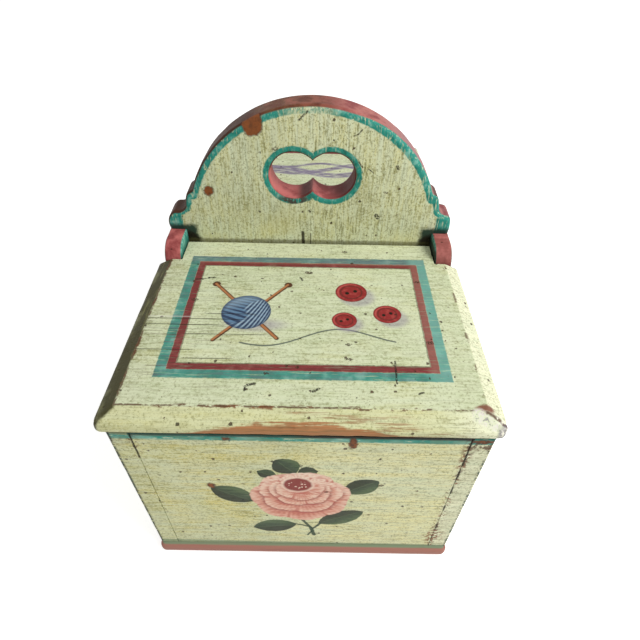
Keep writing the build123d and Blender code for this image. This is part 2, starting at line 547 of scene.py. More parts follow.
def brushed(tree: Tree, grain: Grain, light: Colour, middle: Colour, dark: Colour, streaks: Operand,
            shift: float = 0.0, place: Value | None = None) -> Coat:
    """Old paint put on with a coarse brush over open grain.

    Args:
        tree: The material.
        grain: Which way the brush went.
        light: The paint where it lies thick.
        middle: The paint elsewhere.
        dark: The dark soil in the grain.
        streaks: How strongly the grime shows, from 0 to 1.
        shift: Moves the pattern, so that boards differ.
        place: Where the streaks are looked up, or None for the plain place.

    Returns:
        The paint.
    """
    marks = tree.noise(tree.stretched(grain, shift, place=place), 3.2, 3.0, 0.6)
    clouds = tree.noise(tree.vector("ADD", tree.point, (shift, 0.0, -shift)), 24.0, 4.0, 0.62)
    bristles = tree.noise(tree.stretched(grain, shift, 0.1, place), 1.45, 3.0, 0.65)
    hairs = tree.noise(tree.stretched(grain, shift + 9.0, 0.06, place), 0.85, 2.0, 0.6)
    grit = tree.noise(tree.stretched(grain, shift + 5.0, 0.5, place), 1.7, 4.0, 0.75)
    sand = tree.noise(tree.vector("ADD", tree.point, (-shift, shift, 3.0)), 1.3, 3.0, 0.7)
    patchy = 0.5 + clouds.fall(0.36, 0.6) * 0.5
    colour = tree.layers(
        middle,
        (light, (marks * 0.55 + clouds * 0.45).rise(0.38, 0.62)),
        (Tint.MINT, marks.rise(0.56, 0.7) * clouds.rise(0.42, 0.6) * 0.2),
        (light, bristles.fall(0.3, 0.46) * (0.35 + streaks * 0.4)),
        (dark, bristles.rise(0.5, 0.68) * patchy * streaks),
        (dark, hairs.rise(0.53, 0.66) * patchy * streaks),
        (light, hairs.fall(0.34, 0.46) * 0.5),
        (dark, grit.rise(0.52, 0.7) * (0.12 + streaks * 0.5)),
        (light, grit.fall(0.34, 0.46) * 0.5),
        (dark, sand.rise(0.54, 0.64) * (0.2 + streaks * 0.55)),
        (light, sand.fall(0.36, 0.47) * 0.75))
    return Coat(tree, colour, 1.0 - bristles * 0.6 - grit * 0.2 - sand * 0.2)


def bare_wood(tree: Tree, grain: Grain) -> Value:
    """Bare aged wood with its grain.

    Args:
        tree: The material.
        grain: Which way the grain runs.

    Returns:
        The colour.
    """
    way = tree.stretched(grain, 11.0)
    rings = tree.noise(way, 4.0, 4.0, 0.6)
    fine = tree.noise(way, 0.9, 3.0, 0.6)
    return tree.layers(Tint.AGED_WOOD, (Tint.BARE_WOOD, rings.rise(0.35, 0.65)),
                       (Tint.DARK_WOOD, fine.rise(0.52, 0.8) * 0.55))


def scars(coat: Coat, amount: float, shift: float) -> None:
    """Dark specks, nicks and small losses of paint all over an old board.

    Args:
        coat: The paint.
        amount: How many marks there are.
        shift: Moves them, so that boards differ.
    """
    tree = coat.tree
    ragged = tree.clouds(0.8, 2.0).rise(0.38, 0.5)
    specks = tree.flecks(6.4, 0.8 * amount, 1.15, shift=shift)
    nicks = tree.flecks(15.0, 0.75 * amount, 2.2, (0.62, 1.1, 1.1), shift + 40.0) * ragged
    freckles = tree.flecks(2.5, 0.8 * amount, 0.42, shift=shift + 90.0)
    stain = tree.mix(Tint.DARK_WOOD, Tint.SOOT, tree.clouds(1.1, 2.0).rise(0.35, 0.6))
    coat.lay(Tint.DEEP_OLIVE, freckles * 0.75)
    coat.lay(stain, specks * 0.85)
    coat.lay(stain, nicks * 0.85)
    coat.sink(specks.most(nicks), 0.6)


def scratch(coat: Coat, across: Value, up: Value, marks: Iterable[Stroke], mask: Value,
            shown: float = 0.9, soft: float = 0.3) -> None:
    """Cuts short dark scratches into the paint.

    Args:
        coat: The paint.
        across: The place across the face.
        up: The place up the face.
        marks: The scratches.
        mask: Where they may show.
        shown: How dark they are, from 0 to 1.
        soft: How soft their edges are.
    """
    for mark in marks:
        cut = coat.tree.stroke(across, up, mark, soft) * mask
        coat.lay(Tint.SOOT, cut * shown)
        coat.sink(cut, 0.5)


def chip(coat: Coat, across: Value, up: Value, losses: Iterable[Oval], face: Value, wood: Value) -> None:
    """Chips the paint away to the wood at each loss, with a dark broken edge.

    Args:
        coat: The paint.
        across: The place across the face.
        up: The place up the face.
        losses: Where the paint is gone.
        face: 1 on the face that has lost it.
        wood: The colour of the wood.
    """
    for loss in losses:
        rim = coat.tree.spot(across, up, loss.grown(0.7), 0.5) * face
        core = coat.tree.spot(across, up, loss, 0.3) * face
        coat.lay(Tint.PLUM_BROWN, rim * 0.7)
        coat.lay(wood, core)
        coat.height = coat.height * (1.0 - core) + core * 0.15


@dataclass(frozen=True)
class BoardFinish:
    """Paint of the handle board: streaked sage, a turquoise line round it, and a rose-red edge."""

    sizes: Sizes
    arch_inset: float = 12.9
    arch_shift: float = 2.1
    edge_round: float = 3.0
    hole_radius: float = 15.5
    hole_spread: float = 12.2
    hole_below_crown: float = 44.7
    line_width: float = 8.4
    shoulder: tuple[Place, ...] = (
        (18.0, 27.5), (14.0, 27.1), (11.6, 17.5), (8.0, 15.6), (3.2, 13.5), (1.5, 6.0))
    clefts: tuple[Place, ...] = ((27.6, 1.6), (17.0, 2.0), (1.0, 2.4))
    stains: tuple[Oval, ...] = (
        Oval(-43.0, 202.0, 7.0, 20.0), Oval(-24.0, 184.0, 8.0, 14.0), Oval(-8.0, 166.0, 12.0, 9.0),
        Oval(36.0, 190.0, 9.0, 14.0), Oval(60.0, 172.0, 12.0, 9.0))
    losses: tuple[Oval, ...] = (Oval(-34.6, 239.6, 6.3, 7.6), Oval(-66.8, 194.6, 2.7, 3.0))
    scratches: tuple[Stroke, ...] = (
        Stroke((-1.0, 247.1), (-6.4, 241.9), 1.2), Stroke((32.0, 236.8), (30.2, 234.4), 1.0),
        Stroke((29.8, 234.0), (27.4, 233.0), 0.8), Stroke((56.0, 214.0), (56.8, 212.8), 2.2),
        Stroke((45.9, 178.4), (47.2, 176.8), 3.0), Stroke((31.5, 216.5), (34.0, 213.0), 1.0),
        Stroke((-34.2, 180.2), (-33.8, 179.6), 1.4), Stroke((0.0, 181.0), (0.6, 180.4), 1.5),
        Stroke((38.0, 212.0), (41.0, 209.6), 0.6))

    @property
    def hole_up(self) -> float:
        """The height of the middle of the grip hole."""
        return self.sizes.crown - self.hole_below_crown

    def make(self) -> bpy.types.Material:
        """Makes the material.

        Returns:
            The finished material.
        """
        s = self.sizes
        tree = Tree("handle_board_paint")
        x, z = tree.x, tree.z
        jog_x, jog_y, jog_z = tree.wobble(2.4, 0.75)
        far_x, _, far_z = tree.wobble(7.0, 1.9)
        coat = self.ground(tree)
        mouth = self.mouth(tree)
        self.lines(coat, x + jog_x, z + jog_z, abs(x) + jog_x, mouth, jog_y)
        past_right_edge = x.rise(22, 62) * 1.75
        in_face = (abs(tree.y) + past_right_edge).rise(s.board_face - 1.1, s.board_face - 0.35)
        coat.colour = tree.mix(self.edge_red_and_shade(tree), coat.colour, in_face)
        coat.lay(self.hole_wall_with_shade(tree), mouth.fall(0.4, 1.1))
        self.painted_corner_shade(coat, abs(x) + jog_x * 2.0, z + jog_z * 2.0)
        wood = tree.mix(Tint.CHESTNUT, Tint.DARK_WOOD, tree.clouds(2.6, 4.0).rise(0.4, 0.68) * 0.6)
        front = tree.y.fall(-s.board_face + 2.5, -s.board_face + 3.0)
        ragged_x, ragged_z = x + far_x * 0.7 + jog_x * 2.0, z + far_z * 0.7 + jog_z * 2.0
        chip(coat, ragged_x, ragged_z, self.losses, front, wood)
        torn = tree.clouds(0.9, 2.0).rise(0.36, 0.5)
        scratch(coat, x + jog_x * 0.5, z + jog_z * 0.5, self.scratches, front * torn, 0.85)
        self.split(coat, x + jog_x * 0.5, z + jog_z * 0.5, front)
        coat.lay(bare_wood(tree, Grain.UPRIGHT), z.fall(s.wall_top - 0.5, s.wall_top + 0.5))
        return coat.finish(0.46 + tree.clouds(9.0) * 0.18, 0.22)

    def ground(self, tree: Tree) -> Coat:
        """The streaked sage paint of the two faces, yellower low down, with faint stains.

        Args:
            tree: The material.

        Returns:
            The paint.
        """
        s, x, z = self.sizes, tree.x, tree.z
        middle = tree.mix(Tint.SAGE, Tint.PRIMROSE, 0.3 + (z - s.ear_top) * 0.003)
        for stain in self.stains:
            middle = tree.mix(middle, Tint.OLIVE, tree.spot(x, z, stain, 6.0) * 0.3)
        coat = brushed(tree, Grain.UPRIGHT, Tint.CREAM, middle, Tint.OLIVE, 0.78)
        tone = tree.clouds(30.0, 2.0)
        coat.lay(Tint.OLIVE, (tone - x * 0.0022 - (z - s.ear_top) * 0.001).rise(0.46, 0.78) * 0.12)
        low = z.fall(s.lid_top + 4, s.lid_top + 50) * tree.clouds(22.0).rise(0.42, 0.66)
        coat.lay(Tint.BUTTER, low * 0.35)
        scars(coat, 0.8, 3.0)
        return coat

    def mouth(self, tree: Tree) -> Value:
        """How far a place lies outside the grip hole."""
        beside = abs(tree.x - self.arch_shift) - self.hole_spread
        return tree.length(beside, tree.z - self.hole_up) - self.hole_radius

    def lines(self, coat: Coat, across: Value, up: Value, out: Value, mouth: Value, jog: Value) -> None:
        """The turquoise lines round the board's face and round the grip hole.

        Args:
            coat: The paint.
            across: The place across, jogged.
            up: The place up, jogged.
            out: The distance from the middle, jogged.
            mouth: How far outside the grip hole the place lies.
            jog: The jog of the line round the hole.
        """
        s, tree = self.sizes, coat.tree
        radius = s.half_width - self.arch_inset
        a, b = across - self.arch_shift, up - (s.crown - radius)
        inset = (radius - self.edge_round) - tree.length(a, b)
        arch = inset.fall(1.3, 2.2) * up.rise(s.ear_top + 26.5, s.ear_top + 27.5)
        corners = [(s.half_width - inset_x, s.ear_top + height) for inset_x, height in self.shoulder]
        line = arch * (1.0 - self.worn_crown(tree, across, up))
        for start, end in zip(corners, corners[1:]):
            line = line.most(tree.stroke(abs(a), up, Stroke(start, end, self.line_width), 0.5))
        line = line.most(out.rise(87.5, 88.5) * up.fall(s.ear_top + 12, s.ear_top + 14))
        bristle = tree.noise(tree.stretched(Grain.UPRIGHT, 5.0, 0.15), 1.0, 2.0)
        line = line * (1.0 - bristle.rise(0.54, 0.7) * 0.6)
        line = line * (1.0 - tree.flecks(4.0, 0.8, 1.0, shift=17.0) * 0.85)
        ring = (mouth + jog).fall(3.9, 4.9) * (1.0 - bristle.rise(0.56, 0.72) * 0.5)
        rubbed = tree.spot(across, up, Oval(-10.0, self.hole_up - 17.0, 10.0, 5.0), 2.5)
        tone = tree.clouds(4.0, 3.0)
        blue = tree.layers(Tint.TURQUOISE, (Tint.PALE_TURQUOISE, tone.rise(0.52, 0.72) * 0.75),
                           (Tint.DEEP_TEAL, tone.fall(0.34, 0.46) * 0.4))
        coat.lay(blue, line.most(ring))
        coat.lay(Tint.PLUM_BROWN, rubbed * ring * tone.rise(0.42, 0.52) * 0.85)

    def worn_crown(self, tree: Tree, x: Value, z: Value) -> Value:
        """Where the line is rubbed thin, at the top of the arch.

        Args:
            tree: The material.
            x: The place across.
            z: The place up.

        Returns:
            The mask.
        """
        patch = tree.noise(tree.stretched(Grain.UPRIGHT, 21.0, 0.5), 1.1, 3.0).rise(0.4, 0.6)
        near = z.rise(self.sizes.crown - 12, self.sizes.crown - 7) * x.within(-13, 14, 8)
        return near * (0.35 + patch * 0.5)

    def edge_red_and_shade(self, tree: Tree) -> Value:
        """The rose-red paint of the edge, rubbed along the crown, pinker to the right as painted light,
        and umber on the left and in the clefts, partly browner paint and partly painted shade.

        Args:
            tree: The material.

        Returns:
            The colour.
        """
        s, x, z = self.sizes, tree.x, tree.z
        clouds = tree.clouds(9.0, 4.0, 0.62)
        crown = x.within(-40, 14, 12) * z.rise(s.crown - 12, s.crown - 4)
        knobs = z.fall(s.ear_top + 26, s.ear_top + 30)
        red = tree.layers(
            Tint.ROSE_RED,
            # painted light: pinker towards the right
            (Tint.WORN_PINK, (clouds + x * 0.003).rise(0.4, 0.68)),
            (Tint.MAUVE, x.rise(38, 66) * clouds.rise(0.3, 0.56) * 0.85),
            # umber towards the left: partly browner paint, partly painted shade on the side away from the
            # lamp
            (Tint.UMBER, (clouds - x * 0.006).rise(0.4, 0.6) * 0.92),
            (Tint.BRICK, crown * clouds.rise(0.4, 0.55) * 0.7),
            (Tint.AGED_WOOD, crown * clouds.fall(0.4, 0.6) * 0.35),
            (Tint.UMBER, crown * clouds.rise(0.3, 0.6) * 0.35),
            (Tint.ROSE_RED, knobs * x.rise(40, 60) * clouds.rise(0.36, 0.6) * 0.75))
        # painted shade: umber in the clefts of the outline
        for up, reach in self.clefts:
            cleft = abs(z - (s.ear_top + up)).fall(reach * 0.4, reach)
            red = tree.mix(red, Tint.UMBER, cleft * 0.8)
        return tree.mix(red, Tint.AGED_WOOD, tree.flecks(6.0, 0.7, 1.2, shift=51.0) * 0.5)

    def hole_wall_with_shade(self, tree: Tree) -> Value:
        """The pink wall of the grip hole, with painted shade: deeper red to the right, and plum brown at
        its cusp, its right end and its top.

        Args:
            tree: The material.

        Returns:
            The colour.
        """
        x, cloudy = tree.x, tree.clouds(9.0, 3.0)
        # painted shade at the cusp, the right end and the top of the hole
        cusp = x.within(-7.0, self.arch_shift, 3.0).most(x.rise(10, 26) * 0.85)
        upper = tree.z.rise(self.hole_up + 2, self.hole_up + 7)
        # deeper red towards the right as painted shade
        return tree.layers(Tint.DUSTY_PINK, (Tint.ROSE_RED, (cloudy + x * 0.006).rise(0.4, 0.66) * 0.8),
                           (Tint.PLUM_BROWN, cusp.most(upper) * 0.88))

    def painted_corner_shade(self, coat: Coat, out: Value, up: Value) -> None:
        """Painted shade: dark green and black in the corners beside the ears, and a dark line along the
        lid.

        Args:
            coat: The paint.
            out: The distance from the middle, ragged.
            up: The place up, ragged.
        """
        s, tree = self.sizes, coat.tree
        inner = s.half_width - s.side
        # painted shade: dark corner beside each ear
        corner = out.rise(inner - 10.0, inner - 5.5) * up.fall(s.ear_top + 2, s.ear_top + 6)
        coat.lay(tree.mix(Tint.DEEP_TEAL, Tint.SOOT, 0.4), corner * 0.97)
        # painted shade: black low down where the board meets the ears
        near = (out + up.fall(s.lid_top, s.ear_top) * 5.0).rise(inner - 6.5, inner - 1.5)
        coat.lay(Tint.SOOT, near * up.fall(s.ear_top - 4, s.ear_top + 1) * 0.95)
        # painted shade: dark line along the board's foot above the lid
        coat.lay(Tint.DEEP_OLIVE, up.fall(s.lid_top + 0.3, s.lid_top + 2.2) * 0.6)

    def split(self, coat: Coat, x: Value, z: Value, face: Value) -> None:
        """The split in the board's foot, and a hair crack beside it.

        Args:
            coat: The paint.
            x: The place across.
            z: The place up.
            face: 1 on the front face.
        """
        low = self.sizes.lid_top - 3
        split = coat.tree.stroke(x, z, Stroke((-4.2, low), (-4.6, low + 10.5), 2.2), 0.5) * face
        hair = coat.tree.stroke(x, z, Stroke((0.8, low), (1.0, low + 9.5), 0.9), 0.3) * face
        coat.lay(Tint.SOOT, (split + hair * 0.7).least(1.0) * 0.9)
        coat.sink(split, 0.8)


class Motif(Enum):
    """What is painted in a lid's panel."""

    YARN_AND_BUTTONS = "yarn_and_buttons"
    RIBBON = "ribbon"


@dataclass(frozen=True)
class Button:
    """A crimson button with two holes: its centre and its radius, in millimetres."""

    across: float
    up: float
    radius: float

    def paint(self, coat: Coat, u: Value, v: Value) -> None:
        """Lays the button and its shadow over the paint.

        Args:
            coat: The paint.
            u: The place across.
            v: The place along the depth.
        """
        tree, r = coat.tree, self.radius
        shade = tree.spot(u, v, Oval(self.across + r * 0.35, self.up - r * 0.45, r * 1.1, r * 0.9), 2.0)
        coat.lay(Tint.VIOLET_GREY, shade * 0.5)
        a, b = (u - self.across) / r, (v - self.up) / (r * 0.92)
        away = tree.length(a, b)
        face = tree.layers(
            Tint.CRIMSON,
            (Tint.CRIMSON_LIGHT, tree.clouds(3.0, 3.0).rise(0.45, 0.75) * 0.5),
            (Tint.PLUM_BROWN, away.within(0.62, 0.72, 0.05) * 0.7),
            (Tint.CRIMSON_LIGHT, away.within(0.78, 0.88, 0.04) * (b - a).rise(-0.2, 0.9) * 0.9),
            (Tint.PLUM_BROWN, away.rise(0.93, 1.0) * 0.7))
        for side in (-1, 1):
            hole = Oval(self.across + side * r * 0.26, self.up + side * r * 0.1, r * 0.13, r * 0.13)
            face = tree.mix(face, Tint.SOOT, tree.spot(u, v, hole, 0.25))
        coat.lay(face, away.fall(0.97, 1.03))


@dataclass(frozen=True)
class Ribbon:
    """A loose ribbon that swings to and fro across a lid, with sizes in millimetres."""

    pace: float
    phase: float
    swing: float
    middle: float
    width: float

    def paint(self, coat: Coat, u: Value, v: Value, ends: Value) -> None:
        """Lays the ribbon over the paint, between its ends.

        Args:
            coat: The paint.
            u: The place across.
            v: The place along the depth.
            ends: 1 between the ribbon's ends.
        """
        off = abs(v - ((u * self.pace + self.phase).sine() * self.swing + self.middle))
        brush = coat.tree.noise(coat.tree.stretched(Grain.ACROSS, self.width, 0.12), 0.9, 2.0)
        band = off.fall(self.width * 0.5, self.width) * ends * brush.rise(0.25, 0.5)
        hem = (off - self.width * 0.4).fall(0.5, 1.4) * ends * brush.rise(0.4, 0.55)
        coat.lay(Tint.VIOLET_GREY, band * 0.9)
        coat.lay(Tint.SLATE_MARK, hem * 0.8)


@dataclass(frozen=True)
class LidFinish:
    """Paint of a lid: cream with grain showing, a double frame, a small picture and worn bevels."""

    sizes: Sizes
    motif: Motif
    name: str
    bevel_run: float = 10.0
    frame_half: float = 79.0
    frame_back: float = 30.2
    frame_front: float = 137.9
    blue_width: float = 5.8
    red_width: float = 4.5
    ball: Oval = Oval(-36.0, -86.0, 15.0, 15.0)
    needles: tuple[Stroke, ...] = (
        Stroke((-58.0, -60.0), (-16.0, -108.0), 2.6), Stroke((-12.0, -60.0), (-52.0, -110.0), 2.6))
    front_buttons: tuple[Button, ...] = (
        Button(28.0, -66.0, 10.0), Button(49.0, -86.0, 8.5), Button(23.0, -92.0, 7.5))
    back_buttons: tuple[Button, ...] = (Button(-52.0, -72.0, 8.0), Button(50.0, -110.0, 9.0))
    ribbons: tuple[Ribbon, ...] = (
        Ribbon(0.062, 0.4, 7.0, -100.0, 6.0), Ribbon(0.048, 2.3, 9.0, -106.0, 4.6),
        Ribbon(0.09, 4.0, 4.0, -112.0, 2.6))
    cracks: tuple[tuple[float, float, float], ...] = (
        (-93.0, -96.0, -36.0), (-97.5, -98.0, -50.0), (-88.0, -60.0, -30.0), (-118.0, -101.0, -62.0),
        (-105.5, -70.0, -22.0), (-124.0, -66.0, -40.0))
    scratches: tuple[Stroke, ...] = (
        Stroke((49.6, -124.0), (49.2, -139.5), 1.0), Stroke((-28.5, -142.0), (-25.0, -141.0), 1.7),
        Stroke((-29.5, -142.8), (-29.8, -145.5), 1.2), Stroke((5.5, -145.5), (8.5, -143.6), 1.5),
        Stroke((-72.5, -55.5), (-62.0, -54.0), 0.8), Stroke((-64.0, -53.8), (-60.5, -53.5), 1.7),
        Stroke((-4.5, -52.0), (-3.2, -54.8), 1.5), Stroke((60.0, -146.0), (62.0, -145.0), 1.2))

    def make(self) -> bpy.types.Material:
        """Makes the material.

        Returns:
            The finished material.
        """
        s = self.sizes
        tree = Tree(self.name)
        u, v = tree.x, -abs(tree.y)
        jog_x, jog_y, _ = tree.wobble(2.4, 0.5)
        shift = 0.0 if self.motif is Motif.YARN_AND_BUTTONS else 63.0
        coat = self.ground(tree, u, v, shift)
        self.frame(coat, u + jog_x, v + jog_y)
        self.picture(coat, u + jog_x * 0.4, v + jog_y * 0.4)
        scars(coat, 1.0, 27.0 + shift)
        self.long_cracks(coat, u, v)
        self.bevels(coat, u, v)
        under = tree.z.fall(s.lid_bottom + 0.3, s.lid_bottom + 1.0)
        hidden = v.rise(-s.tab_back - 1.4, -s.tab_back - 0.7) * tree.z.fall(s.lid_top - 4, s.lid_top - 2)
        coat.lay(bare_wood(tree, Grain.ACROSS), under.most(hidden))
        return coat.finish(0.44 + tree.clouds(8.0) * 0.2, 0.2)

    def inset(self, u: Value, v: Value) -> Value:
        """How far a place lies inside the lid's three bevelled edges."""
        return (v + self.sizes.lid_front).least(self.sizes.lid_half - abs(u))

    def slope(self, u: Value, v: Value) -> Value:
        """1 on the three bevels."""
        return self.inset(u, v).fall(self.bevel_run - 0.9, self.bevel_run + 0.1)

    def ground(self, tree: Tree, u: Value, v: Value, shift: float) -> Coat:
        """The brushed cream paint, yellower on the front bevel, with a painted highlight on the right
        bevel and a paler strip along the board, partly paler paint and partly painted light.

        Args:
            tree: The material.
            u: The place across.
            v: The place along the depth, below zero on both lids.
            shift: Moves the pattern, so that the lids differ.

        Returns:
            The paint.
        """
        warm = tree.noise(tree.vector("ADD", tree.point, (shift, 9.0, 0.0)), 30.0, 3.0)
        slope = self.slope(u, v)
        not_right = slope * u.fall(60, 92)
        middle = tree.layers(
            Tint.CELADON,
            (Tint.BUTTER, warm.rise(0.46, 0.66) * 0.35),
            # paler strip along the board: partly paler paint, partly painted light that lifts the board's
            # shade
            (Tint.CREAM, v.rise(-34, -14) * 0.5),
            (Tint.OLIVE, u.fall(-94, -78) * 0.32),
            # painted highlight on the right bevel
            (Tint.PEARL, slope * u.rise(60, 95) * 0.9),
            (Tint.BUTTER, not_right * 0.6))
        light = tree.mix(middle, Tint.CREAM, 0.8 - not_right * 0.35)
        streaks = 0.45 + u.fall(-98, -72) * 0.14
        return brushed(tree, Grain.ACROSS, light, middle, Tint.OLIVE, streaks, shift)

    def frame(self, coat: Coat, u: Value, v: Value) -> None:
        """The turquoise and red lines round the panel.

        Args:
            coat: The paint.
            u: The place across.
            v: The place along the depth, below zero on both lids.
        """
        tree = coat.tree
        middle = -(self.frame_back + self.frame_front) / 2
        half = (self.frame_front - self.frame_back) / 2
        inset = (self.frame_half - abs(u)).least(half - abs(v - middle))
        streak = tree.noise(tree.stretched(Grain.ACROSS, 31.0, 0.06), 1.2, 3.0, 0.65)
        rubbed = 1.0 - streak.rise(0.54, 0.7) * 0.5
        tone = tree.clouds(7.0, 3.0)
        back = v.rise(-self.frame_back - 9, -self.frame_back - 4)
        faded = u.rise(self.frame_half - 14, self.frame_half - 8)
        blue = tree.layers(
            Tint.TURQUOISE,
            (Tint.PALE_TURQUOISE, tone.rise(0.5, 0.72) * 0.6),
            (Tint.DEEP_TEAL, tone.fall(0.36, 0.5) * 0.3),
            (Tint.SLATE_MARK, streak.fall(0.4, 0.54) * 0.4),
            (Tint.SLATE_MARK, back * 0.45),
            (Tint.PALE_TURQUOISE, faded * 0.45))
        red = tree.layers(
            Tint.ROSE_RED,
            (Tint.WORN_PINK, tone.rise(0.52, 0.75) * 0.5),
            (Tint.PLUM_BROWN, streak.rise(0.4, 0.6) * 0.6),
            (Tint.FADED_RED, (faded * 0.4).most(back * 0.6)))
        red_start, red_end = self.blue_width, self.blue_width + self.red_width
        coat.lay(blue, inset.within(0.0, red_start, 0.35) * rubbed * 0.95)
        coat.lay(red, inset.within(red_start, red_end, 0.35) * (rubbed * 0.5 + 0.5))
        coat.lay(Tint.SOOT, inset.within(red_end, red_end + 0.6, 0.25) * 0.6)

    def picture(self, coat: Coat, u: Value, v: Value) -> None:
        """The small picture in the panel.

        Args:
            coat: The paint.
            u: The place across.
            v: The place along the depth, below zero on both lids.
        """
        buttons = self.back_buttons
        if self.motif is Motif.RIBBON:
            ends = abs(u).fall(54, 58)
            for ribbon in self.ribbons:
                ribbon.paint(coat, u, v, ends)
        else:
            self.thread(coat, u, v)
            self.yarn_ball(coat, u, v)
            buttons = self.front_buttons
        for button in buttons:
            button.paint(coat, u, v)

    def thread(self, coat: Coat, u: Value, v: Value) -> None:
        """A loose end of thread that wanders from the ball towards the buttons.

        Args:
            coat: The paint.
            u: The place across.
            v: The place along the depth, below zero on both lids.
        """
        path = (u * 0.085).sine() * 4.5 + (u * 0.031 + 0.6).sine() * 5.0 - 109.0
        line = abs(v - path).fall(0.35, 0.8) * u.within(-37.0, 52.0, 0.5)
        coat.lay(Tint.THREAD, line * 0.9)

    def yarn_ball(self, coat: Coat, u: Value, v: Value) -> None:
        """A ball of blue yarn with two wooden needles through it.

        Args:
            coat: The paint.
            u: The place across.
            v: The place along the depth, below zero on both lids.
        """
        tree, ball = coat.tree, self.ball
        shade = tree.spot(u, v, Oval(ball.across + 7, ball.up - 11, 16.0, 5.0), 3.0)
        coat.lay(Tint.VIOLET_GREY, shade * 0.55)
        for needle in self.needles:
            rod = tree.stroke(u, v, needle)
            knob = tree.spot(u, v, Oval(*needle.start, needle.width, needle.width), 0.4)
            lit = tree.stroke(u + 0.4, v - 0.3, Stroke(needle.start, needle.end, 1.5))
            coat.lay(tree.mix(Tint.DARK_WOOD, Tint.BARE_WOOD, lit), rod.most(knob))
        a, b = (u - ball.across) / ball.width, (v - ball.up) / ball.height
        away = tree.length(a, b)
        strands = ((a * 1.6 + b * 2.4 + (b * b - a) * 0.8) * 11).sine().rise(-0.6, 0.4)
        cross = ((a * 2.2 - b * 1.4 + a * a) * 13).sine().rise(-0.2, 0.7)
        side = (a * 0.8 - b * 0.6 + (b * 4).sine() * 0.25).rise(-0.1, 0.1)
        lit = ((b - a * 0.4) * 0.6).rise(0.1, 0.55)
        wound = tree.layers(
            Tint.YARN_DARK,
            (Tint.YARN_BLUE, strands),
            (tree.mix(Tint.YARN_DARK, Tint.YARN_LIGHT, cross), side * 0.8),
            (Tint.YARN_LIGHT, lit * 0.45),
            (Tint.YARN_DARK, away.rise(0.78, 1.0) * 0.75))
        coat.lay(wound, away.fall(0.97, 1.02))

    def long_cracks(self, coat: Coat, u: Value, v: Value) -> None:
        """Long fine cracks along the grain, thickest at the left, and the light scratches beside them.

        Args:
            coat: The paint.
            u: The place across.
            v: The place along the depth, below zero on both lids.
        """
        tree = coat.tree
        along = v + tree.noise(tree.stretched(Grain.ACROSS, 71.0), 9.0, 2.0) * 3.0 - 1.5
        hair = tree.noise(tree.stretched(Grain.ACROSS, 8.0, 0.022), 0.62, 3.0, 0.6)
        patches = tree.noise(tree.stretched(Grain.ACROSS, 3.0, 0.3), 11.0, 3.0).rise(0.42, 0.62)
        zone = u.fall(-78, -12) * v.within(-136, -58, 22) * 0.75 + 0.1
        open_grain = hair.rise(0.55, 0.63) * patches * zone
        coat.lay(Tint.DARK_WOOD, open_grain)
        coat.sink(open_grain, 0.4)
        for place, start, end in self.cracks:
            line = abs(along - place).fall(0.12, 0.5) * u.within(start, end, 3.0)
            coat.lay(Tint.SOOT, line * 0.7)
            coat.sink(line, 0.5)
        jog_x, jog_y, _ = tree.wobble(1.6, 0.5)
        torn = tree.clouds(0.8, 2.0).rise(0.34, 0.48)
        scratch(coat, u + jog_x, v + jog_y, self.scratches, torn, soft=0.35)
        pale = abs(along + 91.4).fall(0.2, 0.7) * u.within(-99.0, -66.0, 2.0)
        coat.lay(Tint.GESSO, pale * 0.35)

    def bevels(self, coat: Coat, u: Value, v: Value) -> None:
        """Wear on the three bevels and the line above them, and painted shade on the left bevel.

        Args:
            coat: The paint.
            u: The place across.
            v: The place along the depth, below zero on both lids.
        """
        s, tree = self.sizes, coat.tree
        inset = self.inset(u, v)
        jog, jog_b, _ = tree.wobble(4.0, 1.2)
        ridge = abs(inset - self.bevel_run + jog * 0.45)
        rubbed = tree.noise(tree.stretched(Grain.ALONG, 2.0, 1.0), 8.0, 4.0, 0.62)
        light = tree.clouds(14.0, 3.0)
        mitre = (v + s.lid_front) - (s.lid_half - abs(u)) + jog * 0.5
        # painted shade: the left bevel, dark olive and peat
        left = u.fall(-s.lid_half + 9, -s.lid_half + 13) * self.slope(u, v) * mitre.rise(-3.0, -0.5)
        left = left * (0.97 - inset.fall(2.0, 6.0) * light.rise(0.46, 0.64) * 0.3)
        shade_mottle = tree.noise(tree.stretched(Grain.ALONG, 9.0, 0.08), 2.4, 4.0, 0.65)
        coat.lay(tree.mix(Tint.OLIVE, Tint.PEAT, shade_mottle.rise(0.26, 0.46) * 0.95), left)
        right = u.rise(s.lid_half - 14, s.lid_half - 8)
        thin = ridge.fall(0.2, 0.8) * (rubbed - u.rise(10, 50) * 0.1).rise(0.4, 0.5)
        coat.lay(Tint.DARK_WOOD, thin * (0.85 - right * 0.6))
        flat = tree.noise(tree.stretched(Grain.ACROSS, 17.0, 0.3), 3.6, 4.0, 0.65)
        flat = flat * mitre.fall(-1.0, 1.0) + rubbed * mitre.rise(-1.0, 1.0)
        worn = u.within(-40, 2, 14) * 0.05 - u.rise(20, 60) * 0.02
        chips = (ridge + jog_b * 0.7).fall(0.5, 1.5) * (flat + worn).rise(0.55, 0.59)
        wood = tree.mix(Tint.CHESTNUT, Tint.DARK_WOOD, flat.rise(0.5, 0.64))
        coat.lay(wood, chips * (0.85 - right * 0.35))
        self.bare_front(coat, u, v, jog_b)
        self.knocked_corner(coat, u + jog * 1.3, v + jog_b * 1.3)

